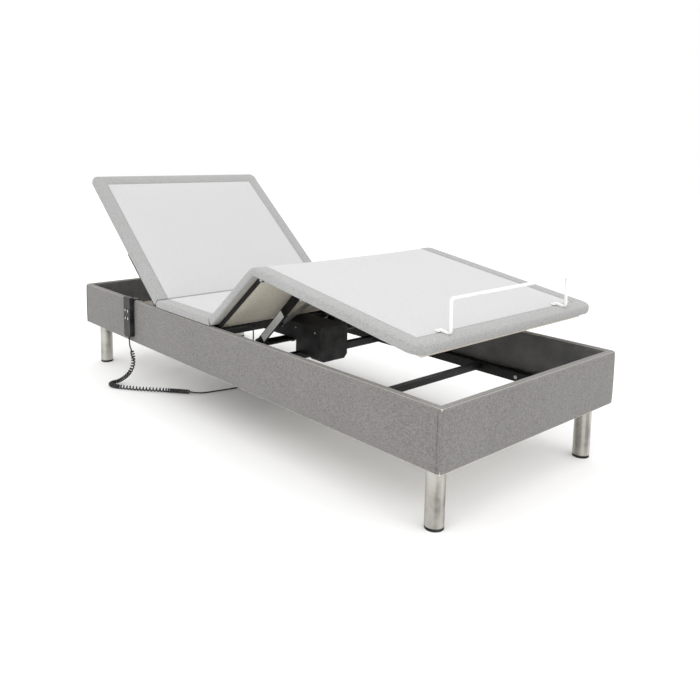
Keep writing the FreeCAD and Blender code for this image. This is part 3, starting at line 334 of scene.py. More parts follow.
def moulded_finish(name, base, rough):
    """Moulded plastic or rubber with a spark-eroded grain."""
    finish = Finish(name)
    grain = finish.noise(1500, 2)
    patches = finish.noise(25, 4)
    finish.colour(finish.ramp(patches, [
        (0.35, mix(base, (0, 0, 0), 0.1)), (0.7, mix(base, (1, 1, 1), 0.03))
    ]))
    finish.bump(grain, 0.2, 0.0003)
    finish.roughness(patches, rough - 0.05, rough + 0.08)
    finish.set(Specular_IOR_Level=0.3)
    return finish.material


FINISHES = {}


def finish(name):
    """The finish of that name, made once."""
    if name not in FINISHES:
        FINISHES[name] = make_finish(name)
    return FINISHES[name]


def make_finish(name):
    scene = bpy.context.scene
    box, pad, cord, metal = scene.bed_box, scene.bed_pads, scene.bed_cord, scene.bed_metal
    black = display(12, 12, 13)
    under_dark = mix(pad.underside, (0, 0, 0), 0.2)
    recipes = {
        # The box fabric's last number is the height above which its top edge is painted lighter:
        # wear and painted highlight.
        "box_fabric": (cloth_finish, box.fabric, box.fabric_dark, 0.0022, 360, 0.10, 0.322),
        "pad_border": (cloth_finish, pad.border, pad.border_dark, 0.0016, 440, 0.10),
        "pad_inset": (cloth_finish, pad.inset, pad.inset_dark, 0.0014, 520, 0.09),
        "pad_under": (cloth_finish, pad.underside, under_dark, 0.0018, 400, 0.08),
        "thread": (cloth_finish, pad.border, mix(pad.border_dark, pad.border, 0.5), 0.0008,
                   700, 0.08),
        "felt": (felt_finish, box.felt),
        "board_wood": (wood_finish, display(214, 209, 196), display(190, 183, 167)),
        # The leg steel's last number sets how strong its painted reflection streaks are.
        "leg_steel": (metal_finish, metal.leg, 0.3, (0, 0, 1), 0.16),
        "black_steel": (painted_finish, metal.frame_paint, 0.42, 0.03),
        "white_steel": (painted_finish, metal.retainer, 0.28, 0.2),
        "zinc": (metal_finish, metal.zinc, 0.32, (1, 0, 0)),
        "black_plastic": (moulded_finish, black, 0.5),
        "button_plastic": (moulded_finish, display(40, 41, 44), 0.45),
        "handset_plastic": (moulded_finish, display(15, 15, 17), 0.42),
        "roller_plastic": (moulded_finish, display(222, 221, 214), 0.35),
        "rubber": (moulded_finish, black, 0.65),
        "cord_jacket": (moulded_finish, cord.jacket, 0.4),
        "label_film": (moulded_finish, display(250, 250, 250), 0.5),
        "mark_ink": (moulded_finish, display(235, 235, 235), 0.5),
    }
    maker, *settings = recipes[name]
    return maker(name, *settings)


# ---- mesh helpers ---------------------------------------------------------------------
def add_object(name, data):
    """A new object in the scene."""
    item = bpy.data.objects.new(name, data)
    bpy.context.scene.collection.objects.link(item)
    return item


def new_piece(name, points, faces, finishes, body, face_finish=None, smooth=True):
    """A mesh piece in frame coordinates that rides on a body."""
    mesh = bpy.data.meshes.new(name)
    mesh.from_pydata([tuple(p) for p in points], [], faces)
    for item in finishes:
        mesh.materials.append(finish(item))
    if face_finish:
        mesh.polygons.foreach_set("material_index", face_finish)
    mesh.polygons.foreach_set("use_smooth", [smooth] * len(mesh.polygons))
    mesh.update()
    piece = add_object(name, mesh)
    if body:
        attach(piece, body)
    return piece


def subdivide(piece):
    modifier = piece.modifiers.new("Smooth", "SUBSURF")
    modifier.levels = 1
    modifier.render_levels = 1


def thicken(piece, thickness, offset):
    modifier = piece.modifiers.new("Thickness", "SOLIDIFY")
    modifier.thickness = thickness
    modifier.offset = offset


def append_shape(points, faces, more_points, more_faces):
    """Adds a shape to the points and faces of a piece under construction."""
    faces += [tuple(len(points) + i for i in face) for face in more_faces]
    points += more_points


def closed_strip(rows, wrap_rows=False):
    """Quad faces between rings of equal point counts, each ring closed on itself."""
    count = len(rows[0])
    faces = []
    last = len(rows) if wrap_rows else len(rows) - 1
    for r in range(last):
        a, b = r * count, ((r + 1) % len(rows)) * count
        for i in range(count):
            j = (i + 1) % count
            faces.append((a + i, a + j, b + j, b + i))
    return [point for row in rows for point in row], faces


def lathe(profile, steps, place, axis, wrap_rows=False):
    """Rings of (radius, height) pairs about an axis through a place."""
    turn = axis.normalized().to_track_quat("Z", "Y").to_matrix()
    rows = []
    for radius, height in profile:
        ring = [
            place + turn @ Vector((radius * math.cos(a), radius * math.sin(a), height))
            for a in (2 * math.pi * i / steps for i in range(steps))
        ]
        rows.append(ring)
    return closed_strip(rows, wrap_rows)


# ---- upholstered box ------------------------------------------------------------------
COVER_THICK = 0.0012
# How far the cover stays below the top of its CAD solid.
COVER_SETTLE = 0.0004
LIP_WIDTH = 0.0186
LIP_ROUND = 0.006
LIP_DROP = 0.012
HEM_RISE = 0.004
BOX_CORNER_ROUND = 0.010
# Radius of the tightest corner that a ring inside the cover may have.
LEAST_ROUND = 0.0015
BLOCK_SIDE = 0.060
STAPLED_GAP = 0.001


def rectangle_ring(half_x, half_y, radius, arc_steps=6, straight_steps=(44, 18)):
    """Points round a rectangle with rounded corners, from the foot end's far side."""
    arcs = []
    for sx, sy, start in ((1, 1, 0), (-1, 1, 90), (-1, -1, 180), (1, -1, 270)):
        centre = Vector((sx * (half_x - radius), sy * (half_y - radius), 0))
        arcs.append([
            centre + radius * Vector((math.cos(a), math.sin(a), 0))
            for a in (math.radians(start + 90 * i / arc_steps) for i in range(arc_steps + 1))
        ])
    points = []
    for k, arc in enumerate(arcs):
        steps = straight_steps[k % 2]
        next_arc = arcs[(k + 1) % 4]
        points += arc + [arc[-1].lerp(next_arc[0], i / steps) for i in range(1, steps)]
    return points


def build_box_cover(looks):
    low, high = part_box("box_cover")
    half_x, half_y = high[0], high[1]
    bottom, top = low[2], high[2] - COVER_SETTLE
    wall = half_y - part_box("side_boards")[1][1]
    inner = wall + LIP_WIDTH
    rounding = looks.edge_round
    side_height = top - bottom - rounding - HEM_RISE
    # Pairs of inset and height, from the hem under the boards over the top to the lip.
    profile = [(inner - 0.003, bottom + 0.0006), (0.008, bottom), (0.0028, bottom + 0.0008),
               (0.0006, bottom + HEM_RISE)]
    for i in range(1, 9):
        share = i / 9
        belly = looks.crown * math.sin(math.pi * share) ** 0.6
        profile.append((-belly, bottom + HEM_RISE + share * side_height))
    for i in range(6):
        a = math.radians(18 * i)
        profile.append((rounding * (1 - math.cos(a)), top - rounding * (1 - math.sin(a))))
    for i in range(1, 6):
        a = math.radians(18 * i)
        profile.append((inner - LIP_ROUND * (1 - math.sin(a)),
                        top - LIP_ROUND * (1 - math.cos(a))))
    profile.append((inner, top - LIP_DROP))
    rows = []
    for inset, z in profile:
        ring = rectangle_ring(half_x - inset, half_y - inset,
                              max(BOX_CORNER_ROUND - inset, LEAST_ROUND))
        rows.append([Vector((p.x, p.y, z)) for p in ring])
    points, faces = closed_strip(rows)
    cover = new_piece("box_cover_fabric", points, faces, ["box_fabric"], BASE)
    thicken(cover, COVER_THICK, -1)
    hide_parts("box_cover")
    build_box_seams(half_x, half_y, bottom, top, looks)


def build_box_seams(half_x, half_y, bottom, top, looks):
    """A raised lapped seam down each corner of the cover."""
    for sx, x_name in ((1, "foot"), (-1, "head")):
        for sy, y_name in ((1, "far"), (-1, "near")):
            rows = []
            for i in range(25):
                share = i / 24
                z = bottom + 0.003 + share * (top - bottom - 0.010)
                out = looks.crown * math.sin(math.pi * share) ** 0.6 + 0.0012
                centre = Vector((sx * (half_x - 0.0145 + out), sy * (half_y + out), z))
                ring = [
                    centre + Vector((0.0016 * math.cos(a), 0.0009 * math.sin(a), 0))
                    for a in (2 * math.pi * k / 8 for k in range(8))
                ]
                rows.append(ring)
            points, faces = closed_strip(rows)
            seam = new_piece(f"box_seam_{x_name}_{y_name}", points, faces, ["box_fabric"],
                             BASE)


def build_lining():
    """Dark felt inside the rails, stapled along the top, with slack between staples."""
    low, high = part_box("inner_lining")
    block_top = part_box("corner_blocks")[1][2]
    face_x, face_y = high[0] - 0.002, high[1] - 0.002
    block_edge = high[0] - BLOCK_SIDE
    rows = []
    levels = 9
    for i in range(levels + 1):
        share = i / levels
        ring = []
        for p in rectangle_ring(face_x, face_y, 0.003, 3, (60, 26)):
            on_end = abs(p.x) > block_edge - 0.002
            floor = (block_top if on_end else low[2]) + STAPLED_GAP
            z = floor + share * (high[2] - STAPLED_GAP - floor)
            slack = 0.0005 * (1 - share**4) * (1 + math.sin(z * 60 + p.x * 31 + p.y * 17))
            inward = Vector((-p.x / face_x if abs(p.x) > face_x - 0.004 else 0,
                             -p.y / face_y if abs(p.y) > face_y - 0.004 else 0, 0))
            ring.append(Vector((p.x, p.y, z)) + inward * (slack - 0.0004))
        rows.append(ring)
    points, faces = closed_strip(rows)
    lining = new_piece("lining_felt", points, faces, ["felt"], BASE)
    thicken(lining, COVER_THICK, 0)
    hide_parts("inner_lining")


# ---- pads -----------------------------------------------------------------------------
PAD_THICK = 0.028
TOP_ROUND = 0.007
FOOT_ROUND = 0.006
SEAM_DEPTH = 0.0022
HALF_WIDTH = 0.400
BACK_HINGE = hinge_point("back_lift")
THIGH_HINGE = hinge_point("thigh_lift")
KNEE = hinge_point("knee_bend")
HINGE_RISE = BACK_HINGE.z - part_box("box_cover")[1][2]
THIGH_RUN = 0.295
BOARD_THICK = 0.012
KNEE_RADIUS = PAD_THICK + BOARD_THICK
KNEE_TURN = THIGH_SLOPE + CALF_SLOPE
KNEE_ARC = KNEE_RADIUS * KNEE_TURN
CALF_RUN = 0.655
BACK_RUN = 0.675
SEAT_RUN = -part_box("seat_pad")[0][0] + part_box("seat_pad")[1][0]
CREASE_GAP = 0.002
BORDER_WIDTH = 0.050
GROOVE_WIDTH = 0.0022
# How far the padding is kept in from the CAD solid at its top and at its base.
TOP_SETTLE = 0.0006
BASE_SETTLE = 0.0010
CREASE_DROP = 0.010
CREASE_WIDTH = 0.0055
HOOK_DENT = 0.005
# Distances from a bordered edge at which a pad's surface has a row of points.
EDGE_ROWS = [0, 0.0012, 0.0035, 0.007, 0.012, 0.018, 0.025, 0.032, 0.040, 0.046, 0.049,
             BORDER_WIDTH, 0.051, 0.054, 0.060, 0.072]
CREASE_ROWS = [0, 0.002, 0.004, CREASE_WIDTH, 0.007, 0.010, 0.018]
# Lengthwise share and radius of each ring of a stitch's thread.
THREAD_PROFILE = ((0.14, 0.0002), (0.3, 0.00055), (0.7, 0.00055), (0.86, 0.0002))


def raised(origin, slope, way, run, y, rise):
    """A point on a section that slopes up from its origin, given along it and above it."""
    x = origin.x + way * run * math.cos(slope) - way * rise * math.sin(slope)
    return Vector((x, y, origin.z + run * math.sin(slope) + rise * math.cos(slope)))


def on_back(run, y, rise):
    return raised(BACK_HINGE, BACK_SLOPE, -1, run, y, rise - HINGE_RISE)


def on_seat(run, y, rise):
    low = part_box("seat_pad")[0]
    return Vector((low[0] + run, y, low[2] + rise))


def on_legs(run, y, rise):
    """Along the thigh, over the knee on an arc about its axis, and down the calf."""
    if run <= THIGH_RUN:
        return raised(THIGH_HINGE, THIGH_SLOPE, 1, run, y, rise - HINGE_RISE)
    if run >= THIGH_RUN + KNEE_ARC:
        return on_calf(run - THIGH_RUN - KNEE_ARC, y, rise)
    lean = (run - THIGH_RUN) / KNEE_RADIUS - THIGH_SLOPE
    radius = rise + BOARD_THICK
    return Vector((KNEE.x + radius * math.sin(lean), y, KNEE.z + radius * math.cos(lean)))


def on_calf(run, y, rise):
    return raised(KNEE, -CALF_SLOPE, 1, run, y, rise + BOARD_THICK)


class Pad:
    """A flat upholstered pad with a sewn border, given by its own length and side edges."""

    def __init__(self, start, end, place, corner, creases, swell, dent=None):
        self.start, self.end = start, end
        self.place = place
        self.corner = corner
        self.creases = creases
        self.swell = swell
        self.dent = dent

    def runs(self):
        """Rows of points along the pad, close together at its ends."""
        first = CREASE_ROWS
        last = CREASE_ROWS if self.creases == 2 else EDGE_ROWS
        low, high = self.start + first[-1], self.end - last[-1]
        steps = round((high - low) / 0.018)
        middle = [low + (high - low) * i / steps for i in range(1, steps)]
        return ([self.start + r for r in first] + middle + [self.end - r for r in last[::-1]])

    def sides(self):
        low = -HALF_WIDTH + EDGE_ROWS[-1]
        steps = 32
        middle = [low - 2 * low * i / steps for i in range(1, steps)]
        return ([-HALF_WIDTH + r for r in EDGE_ROWS] + middle
                + [HALF_WIDTH - r for r in EDGE_ROWS[::-1]])

    def distances(self, run, y):
        """How far a point is from the side edge and from the free end."""
        free = 1.0 if self.creases == 2 else self.end - run
        return HALF_WIDTH - abs(y), free

    def rounded_corner(self, run, y):
        """Draws the square grid in to the pad's rounded corners."""
        side, free = self.distances(run, y)
        if side >= self.corner or free >= self.corner:
            return run, y
        out = Vector((self.corner - free, self.corner - side))
        if out.length < 1e-9:
            return run, y
        out = out.normalized() * max(out.x, out.y)
        edge_y = math.copysign(HALF_WIDTH - self.corner + out.y, y)
        return self.end - self.corner + out.x, edge_y

    def top_rise(self, run, y):
        side, free = self.distances(run, y)
        edge = min(side, free)
        drop = round_drop(edge, TOP_ROUND)
        seam = groove(edge - BORDER_WIDTH) if edge < 2 * BORDER_WIDTH else 0
        near_corner = max(side, free) < BORDER_WIDTH + 0.0005
        if near_corner and abs(side - free) < 1e-6 and edge > 0.002:
            seam = max(seam, 0.8)
        crease = min(run - self.start, self.end - run if self.creases == 2 else 1.0)
        crease_drop = max(CREASE_DROP - crease * CREASE_DROP / CREASE_WIDTH, 0)
        puff = self.swell * 0.35 * (1 - math.exp(-abs(edge - BORDER_WIDTH) / 0.02))
        puff *= min(1, crease / 0.03) * min(1, edge / TOP_ROUND)
        return PAD_THICK - max(drop, crease_drop) - SEAM_DEPTH * seam + puff - TOP_SETTLE

    def base_rise(self, run, y):
        side, free = self.distances(run, y)
        rise = round_drop(min(side, free), FOOT_ROUND)
        if self.dent and self.dent[0] < run < self.dent[1] and y < self.dent[2]:
            rise = max(rise, HOOK_DENT)
        return rise + BASE_SETTLE

    def build(self, name, body, finishes):
        runs, sides = self.runs(), self.sides()
        across = len(sides)
        layers = []
        for rise in (self.top_rise, self.base_rise):
            for run in runs:
                for y in sides:
                    spot = self.rounded_corner(run, y)
                    layers.append(self.place(*spot, rise(run, y)))
        faces, looks = [], []
        base = len(runs) * across
        for i in range(len(runs) - 1):
            for j in range(across - 1):
                a = i * across + j
                quad = (a, a + across, a + across + 1, a + 1)
                middle = (runs[i] + runs[i + 1]) / 2, (sides[j] + sides[j + 1]) / 2
                edge = min(self.distances(*middle))
                faces.append(quad)
                looks.append(0 if edge < BORDER_WIDTH else 1)
                faces.append(tuple(base + k for k in reversed(quad)))
                looks.append(0 if edge < 0.012 else 2)
        rim = list(range(across))
        rim += [i * across + across - 1 for i in range(1, len(runs))]
        rim += [(len(runs) - 1) * across + j for j in range(across - 2, -1, -1)]
        rim += [i * across for i in range(len(runs) - 2, 0, -1)]
        for k, a in enumerate(rim):
            b = rim[(k + 1) % len(rim)]
            faces.append((a, b, base + b, base + a))
            looks.append(0)
        pad = new_piece(name, layers, faces, finishes, None, looks)
        tidy_normals(pad)
        held = list(range(base, 2 * base))
        for i, run in enumerate(runs):
            for j, y in enumerate(sides):
                edge = min(self.distances(run, y))
                near_end = run - self.start < 0.012
                near_end = near_end or (self.creases == 2 and self.end - run < 0.012)
                if near_end or edge < 0.004 or abs(edge - BORDER_WIDTH) < 0.0015:
                    held.append(i * across + j)
        inflate(pad, held, self.swell)
        subdivide(pad)
        if body:
            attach(pad, body)
        return pad

    def seam_path(self):
        """Points along the seam between border and inset, from crease round to crease."""
        inner = HALF_WIDTH - BORDER_WIDTH
        step = 0.010
        first = self.start + 0.008
        last = self.end - (0.008 if self.creases == 2 else BORDER_WIDTH)
        count = round((last - first) / step)
        near = [(first + (last - first) * i / count, -inner) for i in range(count + 1)]
        far = [(run, -y) for run, y in reversed(near)]
        if self.creases == 2:
            return [near, far]
        count = round(2 * inner / step)
        end = [(last, -inner + 2 * inner * i / count) for i in range(1, count)]
        return [near + end + far]


def round_drop(edge, radius):
    """How far a rounded edge has dropped at a distance from the outline."""
    if edge >= radius:
        return 0
    return radius - math.sqrt(max(radius**2 - (radius - max(edge, 0)) ** 2, 0))


def groove(offset):
    """Depth of the seam's groove at a distance from it, as a share of the deepest."""
    return math.exp(-((offset / GROOVE_WIDTH) ** 2))


def tidy_normals(piece):
    mesh = bmesh.new()
    mesh.from_mesh(piece.data)
    bmesh.ops.recalc_face_normals(mesh, faces=mesh.faces)
    mesh.to_mesh(piece.data)
    mesh.free()


def inflate(piece, held, cap):
    """Blows the cover up like stuffing would, no further than the cap."""
    start = [v.co.copy() for v in piece.data.vertices]
    group = piece.vertex_groups.new(name="held")
    group.add(held, 1.0, "REPLACE")
    cloth = piece.modifiers.new("Stuffing", "CLOTH")
    settings = cloth.settings
    settings.quality = 4
    settings.mass = 0.4
    settings.tension_stiffness = 25
    settings.compression_stiffness = 25
    settings.shear_stiffness = 10
    settings.bending_stiffness = 2
    settings.vertex_group_mass = "held"
    settings.use_pressure = True
    settings.uniform_pressure_force = 4
    settings.effector_weights.gravity = 0
    cloth.collision_settings.use_collision = False
    cloth.point_cache.frame_start = 1
    cloth.point_cache.frame_end = 20
    scene = bpy.context.scene
    for moment in range(1, 21):
        scene.frame_set(moment)
    shape = piece.evaluated_get(bpy.context.evaluated_depsgraph_get()).data
    moved = [v.co.copy() for v in shape.vertices]
    piece.modifiers.remove(cloth)
    piece.vertex_groups.remove(group)
    for vertex, before, after in zip(piece.data.vertices, start, moved):
        shift = after - before
        size = shift.length
        if size > 1e-9:
            vertex.co = before + shift / size * cap * math.tanh(size / cap)
    scene.frame_set(1)
    piece.data.update()


def stitch(name, pad, body, finish_name):
    """Short threads along a pad's seam."""
    points, faces = [], []
    for path in pad.seam_path():
        line = [pad.place(run, y, pad.top_rise(run, y) + 0.0010) for run, y in path]
        for a, b in zip(line, line[1:]):
            along = (b - a).normalized()
            side = along.orthogonal().normalized()
            up = along.cross(side)
            first = len(points)
            for share, radius in THREAD_PROFILE:
                centre = a.lerp(b, share)
                points += [
                    centre + radius * (math.cos(t) * side + math.sin(t) * up)
                    for t in (math.pi * k / 3 for k in range(6))
                ]
            for ring in range(3):
                for k in range(6):
                    i, j = first + ring * 6 + k, first + ring * 6 + (k + 1) % 6
                    faces.append((i, j, j + 6, i + 6))
            faces.append(tuple(first + k for k in range(5, -1, -1)))
            faces.append(tuple(first + 18 + k for k in range(6)))
    threads = new_piece(name, points, faces, [finish_name], body)
    return threads


PAD_FINISHES = ["pad_border", "pad_inset", "pad_under"]


def build_back_pad(looks):
    hook_low, hook_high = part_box("handset_hook")
    dent = (BACK_HINGE.x - hook_high[0] - 0.024, BACK_HINGE.x - hook_low[0] + 0.024,
            hook_high[1] + 0.012)
    pad = Pad(CREASE_GAP, BACK_RUN, on_back, 0.025, 1, looks.swell, dent)
    piece = pad.build("back_pad_cover", BACK, PAD_FINISHES)
    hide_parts("back_pad")
    stitch("back_pad_stitches", pad, BACK, "thread")


def build_seat_pad(looks):
    pad = Pad(0, SEAT_RUN, on_seat, 0.001, 2, looks.swell)
    piece = pad.build("seat_pad_cover", BASE, PAD_FINISHES)
    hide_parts("seat_pad")
    stitch("seat_pad_stitches", pad, BASE, "thread")


def build_leg_cover(looks):
    pad = Pad(CREASE_GAP, THIGH_RUN + KNEE_ARC + CALF_RUN, on_legs, 0.040, 1, looks.swell)
    piece = pad.build("leg_pad_cover", None, PAD_FINISHES)
    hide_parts("thigh_pad", "calf_pad")
    threads = stitch("leg_pad_stitches", pad, None, "thread")
    start = on_legs(THIGH_RUN, 0, PAD_THICK)
    end = on_legs(THIGH_RUN + KNEE_ARC, 0, PAD_THICK)
    for item in (piece, threads):
        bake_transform(item)


def build_crease_piping():
    """A covered cord on each crease's hinge axis, which closes the gap between two pads."""
    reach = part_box("seat_board")[1][1] - 0.003
    for hinge, name in ((BACK_HINGE, "back"), (THIGH_HINGE, "thigh")):
        profile = [(0.0004, -reach), (0.0019, -reach)]
        profile += [(0.0019 + 0.0002 * (k % 2), -reach + 2 * reach * k / 60)
                    for k in range(1, 60)]
        profile += [(0.0019, reach), (0.0004, reach)]
        points, faces = lathe(profile, 10, hinge, Vector((0, 1, 0)))
        piping = new_piece(f"crease_piping_{name}", points, faces, ["pad_border"], BASE)
        tidy_normals(piping)


# ---- cord -----------------------------------------------------------------------------
# The route's points, in metres: down from the handset, the curly stretch, under the bed.
UPPER_ROUTE = [
    (-0.5505, -0.412, 0.178), (-0.5498, -0.4125, 0.1685), (-0.5445, -0.414, 0.158),
    (-0.535, -0.416, 0.1495), (-0.524, -0.4175, 0.1435),
]
COIL_ROUTE = [
    (-0.524, -0.4175, 0.1435), (-0.509, -0.420, 0.133), (-0.500, -0.422, 0.113),
    (-0.502, -0.424, 0.089), (-0.515, -0.426, 0.068), (-0.532, -0.428, 0.050),
    (-0.551, -0.430, 0.036), (-0.568, -0.434, 0.024), (-0.582, -0.441, 0.014),
    (-0.590, -0.455, 0.0095), (-0.588, -0.471, 0.009), (-0.576, -0.481, 0.009),
    (-0.558, -0.481, 0.009), (-0.539, -0.473, 0.009), (-0.511, -0.456, 0.009),
    (-0.467, -0.424, 0.009), (-0.417, -0.379, 0.009), (-0.364, -0.331, 0.009),
    (-0.313, -0.290, 0.009),
]
LOWER_ROUTE = [
    (-0.313, -0.290, 0.009), (-0.298, -0.277, 0.0065), (-0.288, -0.250, 0.003),
    (-0.279, -0.210, 0.003), (-0.268, -0.167, 0.003), (-0.261, -0.121, 0.003),
    (-0.259, -0.085, 0.004), (-0.259, -0.060, 0.014), (-0.260, -0.046, 0.038),
    (-0.261, -0.040, 0.072), (-0.262, -0.040, 0.120), (-0.262, -0.041, 0.176),
    (-0.262, -0.040, 0.231),
]
# Share of the curly stretch and the pitch of its turns there, in metres.
PITCHES = [(0, 0.0095), (0.08, 0.0100), (0.14, 0.0150), (0.27, 0.0150), (0.32, 0.0066),
           (0.47, 0.0066), (0.52, 0.0130), (0.80, 0.0130), (0.86, 0.0062), (1, 0.0062)]
POINTS_PER_TURN = 12
# Lengths over which the curl opens out of the plain cord and closes to it again.
CURL_OPENS, CURL_CLOSES = 0.012, 0.008


def nurbs_curve(name, points):
    curve = bpy.data.curves.new(name, "CURVE")
    curve.dimensions = "3D"
    spline = curve.splines.new("NURBS")
    spline.points.add(len(points) - 1)
    for point, place in zip(spline.points, points):
        point.co = (*place, 1)
    spline.order_u = 3
    spline.use_endpoint_u = True
    return curve


def centre_line(points):
    """Points read along the smooth curve of a route."""
    curve = nurbs_curve("route_line", points)
    curve.resolution_u = 24
    holder = bpy.data.objects.new("route_line", curve)
    mesh = bpy.data.meshes.new_from_object(holder)
    line = [v.co.copy() for v in mesh.vertices]
    bpy.data.objects.remove(holder)
    bpy.data.meshes.remove(mesh)
    bpy.data.curves.remove(curve)
    return line


def pitch_at(share):
    for (a, low), (b, high) in zip(PITCHES, PITCHES[1:]):
        if share <= b:
            return low + (high - low) * (share - a) / (b - a)
    return PITCHES[-1][1]


def curly_points(line, radius):
    """Points of a helix about a line, with its turns closer together in places."""
    lengths = [0.0]
    for a, b in zip(line, line[1:]):
        lengths.append(lengths[-1] + (b - a).length)
    total = lengths[-1]
    side = (line[1] - line[0]).orthogonal().normalized()
    points, at, angle, k = [], 0.0, 0.0, 0
    while at < total:
        while k < len(line) - 2 and lengths[k + 1] < at:
            k += 1
            ahead = (line[k + 1] - line[k]).normalized()
            side = (side - ahead * side.dot(ahead)).normalized()
        ahead = (line[k + 1] - line[k]).normalized()
        centre = line[k] + ahead * (at - lengths[k])
        ease = min(1, at / CURL_OPENS, (total - at) / CURL_CLOSES)
        out = side * math.cos(angle) + ahead.cross(side) * math.sin(angle)
        points.append(centre + out * radius * math.sin(ease * math.pi / 2))
        at += pitch_at(at / total) / POINTS_PER_TURN
        angle += 2 * math.pi / POINTS_PER_TURN
    return points


def build_cord(looks):
    coil = curly_points(centre_line(COIL_ROUTE), (looks.coil_diameter - looks.thickness) / 2)
    points = UPPER_ROUTE[:-1] + coil[1:] + LOWER_ROUTE[1:]
    curve = nurbs_curve("handset_cord", points)
    curve.resolution_u = 4
    curve.bevel_depth = looks.thickness / 2
    curve.bevel_resolution = 3
    curve.use_fill_caps = True
    curve.materials.append(finish("cord_jacket"))
    cord = add_object("handset_cord", curve)
    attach(cord, BASE)
    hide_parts("cord_upper", "cord_coil", "cord_lower")


# ---- carried-over nodes ---------------------------------------------------------------
NODE_FINISHES = {
    "board_wood": ("side_boards", "end_boards", "corner_blocks", "seat_board", "back_board",
                   "thigh_board", "calf_board"),
    "leg_steel": ("legs",),
    "rubber": ("leg_glides", "cord_gland", "handset_boot"),
    "zinc": ("leg_studs", "frame_screws", "hinge_pins", "knee_pins", "calf_links",
             "leg_spindle", "back_spindle"),
    "black_steel": ("frame_rails", "cross_tubes", "seat_arms", "back_arms", "thigh_arms",
                    "calf_arms", "leg_shaft", "leg_levers", "back_shaft", "back_levers",
                    "shaft_bearings", "seat_lugs", "calf_lugs", "drive_hangers",
                    "handset_hook"),
    "roller_plastic": ("leg_rollers", "back_rollers", "leg_nut", "back_nut"),
    "black_plastic": ("drive_lower_shell", "drive_upper_shell", "leg_motor", "back_motor",
                      "mains_inlet"),
    "white_steel": ("retainer_bar",),
    "handset_plastic": ("handset_front_shell", "handset_back_shell"),
    "button_plastic": ("button_back_up", "button_back_down", "button_leg_up",
                       "button_leg_down"),
}


def finish_nodes():
    for name, nodes in NODE_FINISHES.items():
        for node in nodes:
            mesh = frame["nodes"][node].data
            mesh.materials.clear()
            mesh.materials.append(finish(name))


# ---- small details --------------------------------------------------------------------
def flat_shape(outline, place, thickness):
    """Points and faces of a thin plate with the given outline."""
    count = len(outline)
    points = [place(u, v, 0) for u, v in outline] + [place(u, v, thickness) for u, v in outline]
    faces = [tuple(range(count - 1, -1, -1)), tuple(range(count, 2 * count))]
    faces += [(i, (i + 1) % count, count + (i + 1) % count, count + i) for i in range(count)]
    return points, faces


def softened(outline, share):
    """The outline with its corners cut twice, so that they look rounded."""
    for _ in range(2):
        cut = []
        for a, b in zip(outline, outline[1:] + outline[:1]):
            cut.append((a[0] + (b[0] - a[0]) * share, a[1] + (b[1] - a[1]) * share))
            cut.append((b[0] - (b[0] - a[0]) * share, b[1] - (b[1] - a[1]) * share))
        outline = cut
    return outline


def build_button_marks():
    """A raised arrow on each key: one bar for the back keys, two for the leg keys."""
    for part in ("back", "leg"):
        for way, sign in (("up", 1), ("down", -1)):
            low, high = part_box(f"button_{part}_{way}")
            middle = (low[0] + high[0]) / 2, (low[2] + high[2]) / 2
            arrow = [(-0.0042, -0.0005), (0.0042, -0.0005), (0, 0.0052)]
            shapes = [[(u, v * sign) for u, v in arrow][::sign]]
            for k in range(1 if part == "back" else 2):
                top = -0.0020 - 0.0022 * k
                bar = [(-0.0036, top), (-0.0036, top - 0.0011), (0.0036, top - 0.0011),
                       (0.0036, top)]
                shapes.append([(u, v * sign) for u, v in bar][::sign])
            points, faces = [], []
            for outline in shapes:
                more, quads = flat_shape(
                    softened(outline, 0.2),
                    lambda u, v, w: Vector((middle[0] + u, low[1] + 0.0001 - w,
                                            middle[1] + v)),
                    0.0003,
                )
                append_shape(points, faces, more, quads)
            mark = new_piece(f"key_mark_{part}_{way}", points, faces, ["mark_ink"],
                             f"key_{part}_{way}", smooth=False)
            tidy_normals(mark)


def side_middle(node):
    """The middle of a node's box, as seen from the side."""
    low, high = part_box(node)
    return Vector(((low[0] + high[0]) / 2, 0, (low[2] + high[2]) / 2))


def build_lever_label():
    """A blank paper label on the near leg lever."""
    centre, tip = side_middle("leg_shaft"), side_middle("leg_rollers")
    along = (tip - centre).normalized()
    up = Vector((-along.z, 0, along.x))
    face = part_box("leg_levers")[0][1]
    outline = softened([(0.035, -0.0130), (0.190, -0.0130), (0.190, 0.0130),
                        (0.035, 0.0130)], 0.03)

    def place(u, v, w):
        spot = centre + along * u + up * v
        return Vector((spot.x, face + 0.0001 - w, spot.z))

    points, faces = flat_shape(outline, place, 0.0003)
    label = new_piece("lever_label", points, faces, ["label_film"], "leg_torsion_set",
                      smooth=False)
    tidy_normals(label)


def build_eyelets():
    """A stitched eyelet round each retainer foot where it enters the pad."""
    low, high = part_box("retainer_bar")
    for y, name in ((low[1], "near"), (high[1], "far")):
        y = math.copysign(abs(y) - 0.0045, y)
        place = on_calf(0.600, y, PAD_THICK + 0.0006)
        axis = on_calf(0.600, y, PAD_THICK + 0.1) - place
        ring = [(0.0052, 0.0), (0.0056, 0.0012), (0.0072, 0.0017), (0.0090, 0.0012),
                (0.0096, 0.0), (0.0072, -0.0008)]
        points, faces = lathe(ring, 24, place, axis, wrap_rows=True)
        eyelet = new_piece(f"retainer_eyelet_{name}", points, faces, ["white_steel"], CALF)


